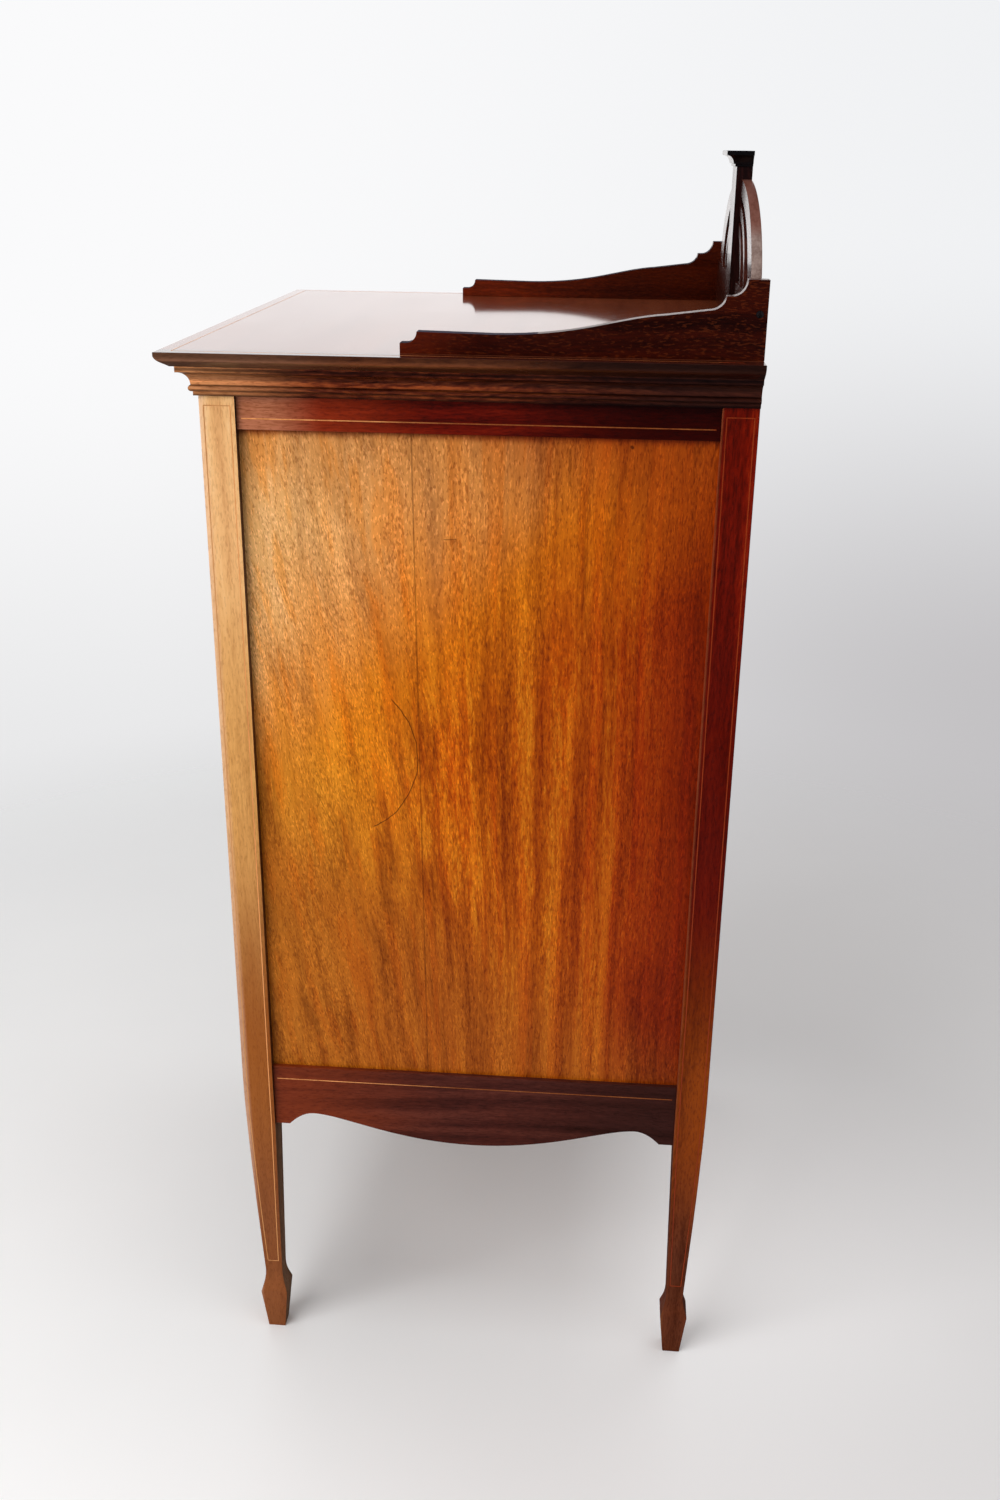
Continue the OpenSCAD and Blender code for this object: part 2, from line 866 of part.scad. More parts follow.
module gallery_back_rail() {
    color(dark_wood)
        difference() {
            block([-rail_g_inx, fret_front, top_h], [rail_g_inx, fret_back, arch_base]);
            block([-post_x, fret_front - 1, top_h - 1], [post_x, fret_back + 1, arch_base + 1]);
            for (s = [0, 1])
                mirror([s, 0, 0])
                    translate([rail_g_x, g_screw_y, g_screw_z])
                        mirror([1, 0, 0])
                            g_screw_room();
        }
}

// Right half of a curved band between two half ellipses that spring from the back rail
module half_band(a_out, b_out, a_in, b_in) {
    intersection() {
        translate([0, arch_base])
            polygon(concat(arc([0, 0], a_out, b_out, 0, 90, 40), arc([0, 0], a_in, b_in, 90, 0, 40)));
        translate([post_x, arch_base])
            square([rail_g_inx - post_x, arch_b + 1]);
    }
}

module gallery_arch_right() {
    color(dark_wood)
        along_y(fret_front, fret_back)
            half_band(arch_half, arch_b, arch_half - band_side, arch_b - band_top);
}

module gallery_arch_left() {
    left_of()
        gallery_arch_right();
}

// Two curved bars inside the arch, close together at the post and spreading to their feet
module gallery_bars_right() {
    rise_1 = arch_b - band_top - bar_gap;
    rise_2 = rise_1 - bar_w - bar_gap;
    color(dark_wood)
        along_y(fret_front, fret_back) {
            half_band(bar_outer, rise_1, bar_outer - bar_w, rise_1 - bar_w);
            half_band(bar_inner, rise_2, bar_inner - bar_w, rise_2 - bar_w);
        }
}

module gallery_bars_left() {
    left_of()
        gallery_bars_right();
}

module gallery_post() {
    color(dark_wood)
        block([-post_x, post_front, top_h], [post_x, post_back, top_h + post_h]);
}

// Half section of the cap: distance out from the post, height over the post
function cap_section() =
    let (
        neck_h = 2,
        neck_out = 1.5,
        hollow_r = cap_out - 3,
        hollow_z = cap_h - cap_slab
    )
    concat(
        [[neck_out, 0], [neck_out, neck_h], [3, neck_h]],
        arc([cap_out, neck_h], hollow_r, hollow_z - neck_h, 180, 90, 10),
        [[cap_out, cap_h]]
    );

// Cap, moulded at the front and the sides and flush with the post at the back
module gallery_cap() {
    half = cap_section();
    right = [for (p = half) [post_x + p[0], p[1]]];
    left = [for (i = [len(half) - 1:-1:0]) [-post_x - half[i][0], half[i][1]]];
    front = [for (i = [len(half) - 1:-1:0]) [post_front - half[i][0], half[i][1]]];
    color(dark_wood)
        translate([0, 0, top_h + post_h])
            intersection() {
                along_y(post_front - cap_out, post_back)
                    polygon(concat(right, left));
                along_x(-post_x - cap_out, post_x + cap_out)
                    polygon(concat(front, [[post_back, 0], [post_back, cap_h]]));
            }
}

// Shelf number i, counted up from 1
module shelf(i) {
    z = apron_top + shelf_pitch * i;
    color(inner_wood)
        block([-shelf_x, shelf_front, z - shelf_t], [shelf_x, shelf_back, z]);
}

module shelf_bearers_right() {
    color(inner_wood)
        for (i = [1:shelf_count]) {
            z = apron_top + shelf_pitch * i - shelf_t;
            block([bearer_x, shelf_front, z - bearer_h], [panel_in_x, leg_in_back, z]);
        }
}

module shelf_bearers_left() {
    left_of()
        shelf_bearers_right();
}

// Upright strip on the left front leg, behind the door's edge
module door_stop() {
    inset = 30;
    color(inner_wood)
        block([-leg_in_x, door_back + stop_gap, door_z0 + inset],
            [-leg_in_x + stop_w, door_back + stop_gap + stop_w, door_z1 - inset]);
}

module strike_plate() {
    color(brass)
        difference() {
            block([-leg_in_x - strike_t, bolt_y - strike_w / 2, bolt_z - strike_h / 2],
                [-leg_in_x, bolt_y + strike_w / 2, bolt_z + strike_h / 2]);
            block([-leg_in_x - strike_t - 1, bolt_y - bolt_t / 2 - 0.6, bolt_z - bolt_h / 2 - 0.6],
                [-leg_in_x + 1, bolt_y + bolt_t / 2 + 0.6, bolt_z + bolt_h / 2 + 0.6]);
        }
}

// Knuckles number i, counted from the top, at a hinge whose middle is at height z
module hinge_knuckles(z, which) {
    for (i = which)
        translate([pin_x, pin_y, z + hinge_h / 2 - (i + 1) * knuckle_h + knuckle_play / 2])
            cylinder(r = knuckle_r, h = knuckle_h - knuckle_play);
}

// Strips of leaf that join a leaf to its own knuckles
module knuckle_webs(z, which, x0) {
    for (i = which)
        block([x0, pin_y, z + hinge_h / 2 - (i + 1) * knuckle_h + knuckle_play / 2],
            [x0 + leaf_t, front_y + 2, z + hinge_h / 2 - i * knuckle_h - knuckle_play / 2]);
}

// Bore for the pin, right through a hinge
module pin_bore(z) {
    translate([pin_x, pin_y, z - hinge_h / 2 - 1])
        cylinder(r = pin_r + pin_play, h = hinge_h + 2);
}

// Leaf on the leg, with three knuckles
module hinge_leaf_leg(z) {
    color(brass)
        difference() {
            union() {
                block([leg_in_x, front_y + 0.8, z - hinge_h / 2],
                    [leg_in_x + leaf_t, front_y + leaf_w, z + hinge_h / 2]);
                hinge_knuckles(z, [0, 2, 4]);
                knuckle_webs(z, [0, 2, 4], leg_in_x);
            }
            pin_bore(z);
            for (dz = screw_zs)
                translate([leg_in_x, screw_y, z + dz])
                    screw_hole_x(screw_l);
        }
}

// Leaf on the door, with two knuckles
module hinge_leaf_door(z) {
    color(brass)
        difference() {
            union() {
                block([door_x - leaf_t, front_y + 0.8, z - hinge_h / 2],
                    [door_x, front_y + leaf_w, z + hinge_h / 2]);
                hinge_knuckles(z, [1, 3]);
                knuckle_webs(z, [1, 3], door_x - leaf_t);
            }
            pin_bore(z);
            for (dz = screw_zs)
                translate([door_x, screw_y, z + dz])
                    mirror([1, 0, 0])
                        screw_hole_x(screw_l);
        }
}

module hinge_leaf_leg_upper() {
    hinge_leaf_leg(hinge_zs[0]);
}

module hinge_leaf_leg_lower() {
    hinge_leaf_leg(hinge_zs[1]);
}

module hinge_leaf_door_upper() {
    hinge_leaf_door(hinge_zs[0]);
}

module hinge_leaf_door_lower() {
    hinge_leaf_door(hinge_zs[1]);
}

module hinge_pins() {
    color(steel)
        for (z = hinge_zs)
            translate([pin_x, pin_y, z - hinge_h / 2])
                cylinder(r = pin_r, h = hinge_h);
}

module hinge_leg_screws() {
    color(brass)
        for (z = hinge_zs)
            for (dz = screw_zs)
                translate([leg_in_x + 0.1, screw_y, z + dz])
                    screw_x(screw_l);
}

module hinge_door_screws() {
    color(brass)
        for (z = hinge_zs)
            for (dz = screw_zs)
                translate([door_x - 0.1, screw_y, z + dz])
                    mirror([1, 0, 0])
                        screw_x(screw_l);
}

// Groove for the door panel and mortises for the door rails, in a stile that spans x0 to x1
module stile(x0, x1, inner_x, dir) {
    y0 = door_panel_y;
    difference() {
        block([x0, door_face, door_z0], [x1, door_back, door_z1]);
        block([min(inner_x, inner_x + dir * groove), y0 - 0.05, door_z0 + door_foot_w - groove],
            [max(inner_x, inner_x + dir * groove), y0 + panel_t + 0.05, door_z1 - door_rail_w + groove]);
        for (zz = [[door_z0, door_z0 + door_foot_w], [door_z1 - door_rail_w, door_z1]])
            block([min(inner_x, inner_x + dir * (door_tenon + groove_play)), y0 - mortise_play,
                    zz[0] + shoulder - mortise_play],
                [max(inner_x, inner_x + dir * (door_tenon + groove_play)),
                    y0 + panel_t + mortise_play, zz[1] - shoulder + mortise_play]);
    }
}

module door_stile_hinge() {
    color(leg_wood)
        difference() {
            stile(door_x - stile_w, door_x, door_x - stile_w, 1);
            for (z = hinge_zs) {
                block([door_x - leaf_t, door_face - 1, z - hinge_h / 2],
                    [door_x + 1, front_y + leaf_w, z + hinge_h / 2]);
                for (dz = screw_zs)
                    translate([door_x, screw_y, z + dz])
                        mirror([1, 0, 0])
                            screw_hole_x(screw_l);
            }
        }
}

// Keyhole from plane y0 to plane y1: a round hole with a slot for the bit below it
module keyhole(y0, y1) {
    translate([key_x, y0, key_z])
        rotate([-90, 0, 0])
            cylinder(r = keyhole_r, h = y1 - y0);
    block([key_x - bit_t / 2 - 0.4, y0, key_z - bit_l - 0.5], [key_x + bit_t / 2 + 0.4, y1, key_z]);
}

module door_stile_lock() {
    color(leg_wood)
        difference() {
            stile(-door_x, -door_x + stile_w, -door_x + stile_w, -1);
            block([-door_x - 1, door_back - lock_d, lock_z - lock_h / 2],
                [-door_x + lock_w, door_back + 1, lock_z + lock_h / 2]);
            keyhole(door_face - 1, door_back - lock_d + 1);
        }
}

// Door rail from z0 to z1, with a groove for the panel along one edge
module door_rail(z0, z1, groove_z) {
    x1 = door_x - stile_w;
    color(leg_wood)
        difference() {
            union() {
                block([-x1, door_face, z0], [x1, door_back, z1]);
                block([-x1 - door_tenon, door_panel_y, z0 + shoulder],
                    [x1 + door_tenon, door_panel_y + panel_t, z1 - shoulder]);
            }
            block([-x1 - 0.01, door_panel_y - 0.05, groove_z - groove],
                [x1 + 0.01, door_panel_y + panel_t + 0.05, groove_z + groove]);
        }
}

module door_rail_top() {
    door_rail(door_z1 - door_rail_w, door_z1, door_z1 - door_rail_w);
}

module door_rail_bottom() {
    door_rail(door_z0, door_z0 + door_foot_w, door_z0 + door_foot_w);
}

module door_panel() {
    x1 = door_x - stile_w + groove_fit;
    color(panel_wood)
        block([-x1, door_panel_y, door_z0 + door_foot_w - groove_fit],
            [x1, door_panel_y + panel_t, door_z1 - door_rail_w + groove_fit]);
}

// Quarter round of a bead, as distance in from the frame and height over the panel
function bead_section() = concat([[0, 0]], arc([0, 0], bead_w, bead_h, 0, 90, 10));

// Quarter-round beads in front of the door panel, mitred into a frame
module door_beads() {
    x1 = door_x - stile_w;
    z0 = door_z0 + door_foot_w;
    z1 = door_z1 - door_rail_w;
    w = bead_w;
    y = door_panel_y;
    color(dark_wood) {
        intersection() {
            along_x(-x1, x1)
                polygon([for (p = bead_section()) [y - p[1], z0 + p[0]]]);
            along_y(y - bead_h - 1, y + 1)
                polygon([[-x1, z0], [x1, z0], [x1 - w, z0 + w], [-x1 + w, z0 + w]]);
        }
        intersection() {
            along_x(-x1, x1)
                polygon([for (p = bead_section()) [y - p[1], z1 - p[0]]]);
            along_y(y - bead_h - 1, y + 1)
                polygon([[-x1, z1], [x1, z1], [x1 - w, z1 - w], [-x1 + w, z1 - w]]);
        }
        for (s = [0, 1])
            mirror([s, 0, 0])
                intersection() {
                    translate([0, 0, z0])
                        linear_extrude(z1 - z0)
                            polygon([for (p = bead_section()) [x1 - p[0], y - p[1]]]);
                    along_y(y - bead_h - 1, y + 1)
                        polygon([[x1, z0], [x1, z1], [x1 - w, z1 - w], [x1 - w, z0 + w]]);
                }
    }
}

// Lock case: a shallow box with an edge plate, a slot for the bolt and a keyhole
module lock_case() {
    x0 = -door_x;
    y0 = door_back - lock_d;
    guide_z = bolt_z - bolt_h / 2 - bolt_play;
    color(brass)
        difference() {
            block([x0, y0, lock_z - lock_h / 2], [x0 + lock_w, door_back, lock_z + lock_h / 2]);
            difference() {
                block([x0 + 2, y0 + lock_wall, lock_z - lock_h / 2 + lock_wall],
                    [x0 + lock_w - lock_wall, door_back - lock_wall, lock_z + lock_h / 2 - lock_wall]);
                block([x0, y0, guide_z - lock_wall], [x0 + lock_w * 0.45, door_back, guide_z]);
            }
            block([x0 - 1, bolt_y - bolt_t / 2 - bolt_play, guide_z],
                [x0 + 3, bolt_y + bolt_t / 2 + bolt_play, bolt_z + bolt_h / 2 + bolt_play]);
            keyhole(y0 - 1, y0 + lock_wall + 0.5);
        }
}

module lock_bolt() {
    color(steel)
        block([-door_x, bolt_y - bolt_t / 2, bolt_z - bolt_h / 2],
            [-door_x + bolt_l, bolt_y + bolt_t / 2, bolt_z + bolt_h / 2]);
}

module escutcheon() {
    color(brass)
        difference() {
            translate([key_x, door_face - plate_t, key_z - 2])
                rotate([-90, 0, 0])
                    cylinder(r = plate_r, h = plate_t);
            keyhole(door_face - plate_t - 1, door_face + 1);
        }
}

// Key: a round shank, a flat bit that hangs down, a collar and a ring bow
module key() {
    color(brass)
        translate([key_x, 0, key_z]) {
            translate([0, bow_y, 0])
                rotate([-90, 0, 0])
                    cylinder(r = shank_r, h = key_end - bow_y);
            block([-bit_t / 2, key_end - bit_w - 0.4, -bit_l], [bit_t / 2, key_end - 0.4, 0]);
            translate([0, bow_y + 1, 0])
                rotate([-90, 0, 0])
                    cylinder(r = shank_r + 0.8, h = 1.6);
            translate([-bow_t / 2, bow_y - bow_r + 1.5, 0])
                rotate([0, 90, 0])
                    difference() {
                        cylinder(r = bow_r, h = bow_t);
                        translate([0, 0, -1])
                            cylinder(r = bow_r - bow_ring, h = bow_t + 2);
                    }
        }
}

leg_front_right();
leg_front_left();
leg_back_right();
leg_back_left();
side_panel_right();
side_panel_left();
side_top_rail_right();
side_top_rail_left();
side_apron_right();
side_apron_left();
front_top_rail();
front_apron();
back_top_rail();
back_bottom_rail();
back_board_right();
back_board_middle();
back_board_left();
bottom_board();
bottom_cleats();
top_board();
glue_blocks();
cornice_front();
cornice_right();
cornice_left();
gallery_rail_right();
gallery_rail_left();
gallery_back_rail();
gallery_arch_right();
gallery_arch_left();
gallery_bars_right();
gallery_bars_left();
gallery_post();
gallery_cap();
gallery_screws();
shelf(1);  // shelf_1
shelf(2);  // shelf_2
shelf(3);  // shelf_3
shelf(4);  // shelf_4
shelf(5);  // shelf_5
shelf_bearers_right();
shelf_bearers_left();
door_stop();
strike_plate();
hinge_leaf_leg_upper();
hinge_leaf_leg_lower();
hinge_leg_screws();
door_stile_hinge();
door_stile_lock();
door_rail_top();
door_rail_bottom();
door_panel();
door_beads();
hinge_leaf_door_upper();
hinge_leaf_door_lower();
hinge_pins();
hinge_door_screws();
lock_case();
lock_bolt();
escutcheon();
key();
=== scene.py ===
"""Music cabinet: its polished woods, inlaid lines, brass, studio and camera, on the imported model."""

import json
import logging
import math
from collections.abc import Callable
from dataclasses import dataclass
from enum import Enum

import bmesh
import bpy
from mathutils import Matrix, Vector

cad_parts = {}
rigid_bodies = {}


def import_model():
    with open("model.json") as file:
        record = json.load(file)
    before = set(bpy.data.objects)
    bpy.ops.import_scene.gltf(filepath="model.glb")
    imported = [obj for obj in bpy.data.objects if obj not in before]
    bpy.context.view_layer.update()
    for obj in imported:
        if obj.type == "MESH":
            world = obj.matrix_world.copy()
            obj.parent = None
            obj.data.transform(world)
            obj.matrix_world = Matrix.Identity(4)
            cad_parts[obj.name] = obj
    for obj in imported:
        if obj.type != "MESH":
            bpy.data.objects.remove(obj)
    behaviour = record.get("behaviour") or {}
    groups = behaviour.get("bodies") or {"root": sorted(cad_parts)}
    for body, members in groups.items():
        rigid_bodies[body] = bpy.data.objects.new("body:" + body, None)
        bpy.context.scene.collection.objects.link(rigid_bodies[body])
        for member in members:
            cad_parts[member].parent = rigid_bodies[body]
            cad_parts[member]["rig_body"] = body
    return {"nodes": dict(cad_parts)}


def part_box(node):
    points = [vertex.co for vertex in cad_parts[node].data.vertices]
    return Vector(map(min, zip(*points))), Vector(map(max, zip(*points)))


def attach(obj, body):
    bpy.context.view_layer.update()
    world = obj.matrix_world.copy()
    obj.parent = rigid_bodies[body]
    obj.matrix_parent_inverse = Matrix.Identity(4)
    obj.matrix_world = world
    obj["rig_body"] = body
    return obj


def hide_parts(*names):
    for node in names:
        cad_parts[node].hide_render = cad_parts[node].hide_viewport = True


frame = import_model()

log = logging.getLogger("music_cabinet")

Triple = tuple[float, float, float]
Colour = Triple
Place = Triple
Socket = bpy.types.NodeSocket
Value = float | Socket

MM = 0.001
FAR = 1.0  # metres: farther out than any side of the cabinet
ACROSS = (1.0, 0.0, 0.0)
DEEP = (0.0, 1.0, 0.0)
UP = (0.0, 0.0, 1.0)
WHITE = (1.0, 1.0, 1.0)

# Where a colour mix has its share, its two colours and its result.
MIX_SHARE, MIX_BELOW, MIX_ABOVE, MIX_RESULT = 0, 6, 7, 2

# What a colour is multiplied by in pores, on flecks, in dull and lit grain, and on pale and warm streaks.
PORE = (0.54, 0.4, 0.32)
GLINT = (1.5, 1.62, 1.9)
DULLED = (0.58, 0.47, 0.3)
LIT = (1.22, 1.28, 1.4)
PALER = (1.04, 1.12, 1.3)
WARMER = (1.03, 0.8, 0.42)

SEED_STEP, SEED_SKEW = 0.731, 1.7  # how far a seed moves a board's figure, and how much farther the other way
RIM_IN = 6 * MM  # from a panel's own edge, hidden in its groove, to the rim that shows
PORE_DEPTH = 0.2 * MM
BRUSHED_DEPTH = 0.1 * MM
LEAN_FROM, LEAN_TO = 60 * MM, -100 * MM  # where a leaning grain begins to lean, and where it leans most
LEAN_LEVEL = 600 * MM  # the height where the lean moves nothing

SHARP = 28.0  # degrees: an edge that turns more is eased
FLAT = 0.5  # degrees: faces that turn less are one face
SAME = 1e-6  # metres: corners that are closer are one corner


def paint(red: float, green: float, blue: float) -> Colour:
    """A colour as a screen shows it, as linear light.

    Args:
        red: Red, from 0 to 255.
        green: Green, from 0 to 255.
        blue: Blue, from 0 to 255.

    Returns:
        The same colour in linear light, from 0 to 1.
    """
    def linear(part: float) -> float:
        """One part of the colour in linear light, by the usual curve of a screen."""
        part /= 255
        return part / 12.92 if part <= 0.04045 else ((part + 0.055) / 1.055) ** 2.4

    return (linear(red), linear(green), linear(blue))


class Along(Enum):
    """The axis that a board's grain runs along, written after the two across it."""

    X = (1, 2, 0)
    Y = (0, 2, 1)
    Z = (0, 1, 2)


class Side(Enum):
    """The cabinet's two sides, for someone who faces the door."""

    RIGHT = "right"
    LEFT = "left"


class Slot(Enum):
    """The record's material slots for wood."""

    PANEL = "mahogany_panel"
    FRAME = "mahogany_frame"
    DARK = "mahogany_dark"
    INNER = "inner_wood"


class End(Enum):
    """An end of a piece: which corner of its box, and which axis."""

    RIGHT = (1, 0)
    FRONT = (0, 1)
    BACK = (1, 1)
    BOTTOM = (0, 2)
    TOP = (1, 2)


def end_of(node: str, end: End) -> float:
    """Where a CAD piece ends.

    Args:
        node: The CAD node.
        end: Which of its ends.

    Returns:
        The end's place along its axis, in metres.
    """
    corner, axis = end.value
    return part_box(node)[corner][axis]


class Graph:
    """The node tree of a material or of the world, written a few nodes at a time."""

    def __init__(self, tree: bpy.types.NodeTree) -> None:
        """Empties the tree.

        Args:
            tree: The tree to write.
        """
        self.tree = tree
        tree.nodes.clear()

    def node(self, kind: str, settings: dict[str, object] | None = None,
             sockets: dict[str | int, object] | None = None) -> bpy.types.Node:
        """Adds one node.

        Args:
            kind: The node's type.
            settings: Properties to set on it.
            sockets: Values or sockets for its inputs, by name or number.

        Returns:
            The new node.
        """
        made = self.tree.nodes.new(kind)
        for name, value in (settings or {}).items():
            setattr(made, name, value)
        for key, value in (sockets or {}).items():
            self.feed(made.inputs[key], value)
        return made

    def feed(self, into: Socket, value: object) -> None:
        """Links a socket to an input, or sets the input's own value.

        Args:
            into: The input.
            value: A socket, a number, a colour or a vector.
        """
        if isinstance(value, bpy.types.NodeSocket):
            self.tree.links.new(value, into)
        elif into.type == "RGBA" and len(value) == 3:
            into.default_value = (*value, 1.0)
        else:
            into.default_value = value

    def math(self, kind: str, a: Value, b: Value = 0.0, clamp: bool = False) -> Socket:
        """One sum of two values.

        Args:
            kind: The sum, such as ADD or MULTIPLY.
            a: The first value.
            b: The second value.
            clamp: Whether the result is kept from 0 to 1.

        Returns:
            The result.
        """
        settings = {"operation": kind, "use_clamp": clamp}
        return self.node("ShaderNodeMath", settings, {0: a, 1: b}).outputs[0]

    def span(self, value: Value, low: float, high: float, first: float = 0.0, last: float = 1.0) -> Socket:
        """Turns the range low to high into first to last, smoothly and without going past.

        Args:
            value: What is measured.
            low: The value that gives first.
            high: The value that gives last.
            first: The result at low.
            last: The result at high.

        Returns:
            The result.
        """
        if low > high:
            low, high, first, last = high, low, last, first
        sockets = {"Value": value, "From Min": low, "From Max": high, "To Min": first, "To Max": last}
        settings = {"interpolation_type": "SMOOTHSTEP", "clamp": True}
        return self.node("ShaderNodeMapRange", settings, sockets).outputs[0]

    def noise(self, place: Socket, size: Place, detail: float = 2.0, rough: float = 0.5) -> Socket:
        """Soft noise.

        Args:
            place: Where it is read.
            size: How many of its blots lie in a metre, along each of the place's three axes.
            detail: How many finer layers it has.
            rough: How strong the finer layers are.

        Returns:
            Its height, about 0.5.
        """
        scaled = self.node("ShaderNodeVectorMath", {"operation": "MULTIPLY"}, {0: place, 1: size}).outputs[0]
        sockets = {"Vector": scaled, "Scale": 1.0, "Detail": detail, "Roughness": rough}
        return self.node("ShaderNodeTexNoise", {"noise_dimensions": "3D"}, sockets).outputs["Fac"]

    def mix(self, share: Value, first: object, second: object, kind: str = "MIX") -> Socket:
        """Mixes two colours.

        Args:
            share: How much of the second shows.
            first: The colour below.
            second: The colour above.
            kind: How they mix.

        Returns:
            The mixed colour.
        """
        made = self.node("ShaderNodeMix", {"data_type": "RGBA", "blend_type": kind, "clamp_factor": True})
        for index, value in ((MIX_SHARE, share), (MIX_BELOW, first), (MIX_ABOVE, second)):
            self.feed(made.inputs[index], value)
        return made.outputs[MIX_RESULT]

    def ramp(self, value: Socket, stops: list[tuple[float, Colour]]) -> Socket:
        """A run of colours.

        Args:
            value: Where on the run.
            stops: Places on the run and their colours.

        Returns:
            The colour there.
        """
        made = self.node("ShaderNodeValToRGB", None, {0: value})
        band = made.color_ramp
        while len(band.elements) < len(stops):
            band.elements.new(0.5)
        for element, (at, colour) in zip(band.elements, stops):
            element.position = at
            element.color = (*colour, 1.0)
        return made.outputs["Color"]

    def parts(self, vector: Socket) -> list[Socket]:
        """The three parts of a vector."""
        return list(self.node("ShaderNodeSeparateXYZ", None, {0: vector}).outputs)

    def join(self, parts: list[Value]) -> Socket:
        """A vector of three parts."""
        return self.node("ShaderNodeCombineXYZ", None, dict(enumerate(parts))).outputs[0]

    def measure(self, kind: str, a: Socket, b: Place) -> Socket:
        """Measures one vector by another.

        Args:
            kind: DOT_PRODUCT or DISTANCE.
            a: The vector.
            b: What it is measured by.

        Returns:
            The number.
        """
        return self.node("ShaderNodeVectorMath", {"operation": kind}, {0: a, 1: b}).outputs["Value"]

    def either(self, share: Value, first: bpy.types.Node, second: bpy.types.Node) -> bpy.types.Node:
        """Mixes two shaders.

        Args:
            share: How much of the second shows.
            first: The shader below.
            second: The shader above.

        Returns:
            The mixed shader.
        """
        return self.node("ShaderNodeMixShader", None, {0: share, 1: first.outputs[0], 2: second.outputs[0]})


@dataclass(frozen=True)
class Spot:
    """The tree of a wood's material, and a place on the wood in three forms.

    Attributes:
        g: The tree.
        place: The place on the cabinet, as its three parts.
        board: The place on a straight board whose grain runs along its third axis.
        grain: The same, moved so that the grain sways.
    """

    g: Graph
    place: list[Socket]
    board: Socket
    grain: Socket


@dataclass(frozen=True)
class FadeAndPaintedLight:
    """A slow change of colour across a board: partly the wood's own fading, partly painted light and shade,
    such as a lit front, a shaded back, a sheen or a shadow.

    Attributes:
        to: The colour that it goes to.
        way: The direction that it is measured along.
        start: Where it begins.
        end: Where it is full.
        most: How much of the new colour shows there.
        grain: How much of the grain shows in it.
    """

    to: Colour
    way: Place
    start: float
    end: float
    most: float = 1.0
    grain: float = 1.0

    def over(self, at: Spot, colour: Socket, tone: Socket, drift: Socket) -> Socket:
        """Lays the fade over a wood's colour.

        Args:
            at: The tree and the place.
            colour: The wood's colour.
            tone: How light the grain is.
            drift: How far the grain's streaks run ahead of the fade.

        Returns:
            The faded colour.
        """
        g = at.g
        far = g.span(g.measure("DOT_PRODUCT", g.join(at.place), self.way), self.start, self.end)
        edge = g.math("MULTIPLY", g.math("MULTIPLY", far, g.math("SUBTRACT", 1.0, far)), 4.0)
        share = g.math("ADD", far, g.math("MULTIPLY", drift, edge), True)
        grained = g.ramp(tone, [(0.1, DULLED), (0.5, WHITE), (0.9, LIT)])
        shaded = g.mix(self.grain, self.to, grained, "MULTIPLY")
        return g.mix(g.math("MULTIPLY", share, self.most), colour, shaded)


@dataclass(frozen=True)
class Streaks:
    """Long paler and warmer streaks along the grain, with soft edges from low to high."""

    pale_size: Place
    warm_size: Place
    low: float
    high: float
    most: float

    def over(self, at: Spot, colour: Socket, tint: float) -> Socket:
        """Lays the streaks over a wood's colour.

        Args:
            at: The tree and the place.
            colour: The wood's colour.
            tint: How strongly the wood is streaked.

        Returns:
            The streaked colour.
        """
        g = at.g
        for size, shade in ((self.pale_size, PALER), (self.warm_size, WARMER)):
            share = g.span(g.noise(at.grain, size, 3.0, 0.55), self.low, self.high, 0.0, self.most * tint)
            colour = g.mix(share, colour, shade, "MULTIPLY")
        return colour


UNDER_FADES = Streaks((58, 58, 1.9), (47, 51, 1.6), 0.47, 0.6, 1.0)
OVER_FADES = Streaks((83, 79, 2.3), (71, 77, 2.0), 0.5, 0.62, 0.8)


@dataclass(frozen=True)
class Scratch:
    """A dark curved scratch: part of a circle on a board that faces along X.

    Attributes:
        y: The circle's middle, from front to back.
        z: The circle's middle, upwards.
        radius: The circle's radius.
        width: How wide the scratch is.
        low: The angle where it begins, in radians.
        high: The angle where it ends.
        ease: The angle over which it comes and goes.
        wander: How far it strays from the circle.
        depth: How dark it is.
    """

    y: float
    z: float
    radius: float
    width: float
    low: float
    high: float
    ease: float = 0.05
    wander: float = 4 * MM
    depth: float = 0.8

    def mark(self, at: Spot) -> Socket:
        """How dark the scratch is at a place.

        Args:
            at: The tree and the place.

        Returns:
            The share of dark, from 0 to the scratch's depth.
        """
        g = at.g
        y = g.math("SUBTRACT", at.place[1], self.y)
        z = g.math("SUBTRACT", at.place[2], self.z)
        out = g.math("SQRT", g.math("ADD", g.math("MULTIPLY", y, y), g.math("MULTIPLY", z, z)))
        ragged = g.math("SUBTRACT", g.noise(at.board, (60, 60, 60), 2.0), 0.5)
        ragged = g.math("MULTIPLY", ragged, self.wander)
        off = g.math("ABSOLUTE", g.math("SUBTRACT", g.math("ADD", out, ragged), self.radius))
        line = g.span(off, self.width * 0.4, self.width, 1.0, 0.0)
        angle = g.math("ARCTAN2", z, y)
        start = g.span(angle, self.low, self.low + self.ease)
        stop = g.span(angle, self.high - self.ease, self.high, 1.0, 0.0)
        return g.math("MULTIPLY", g.math("MULTIPLY", line, start), g.math("MULTIPLY", stop, self.depth))


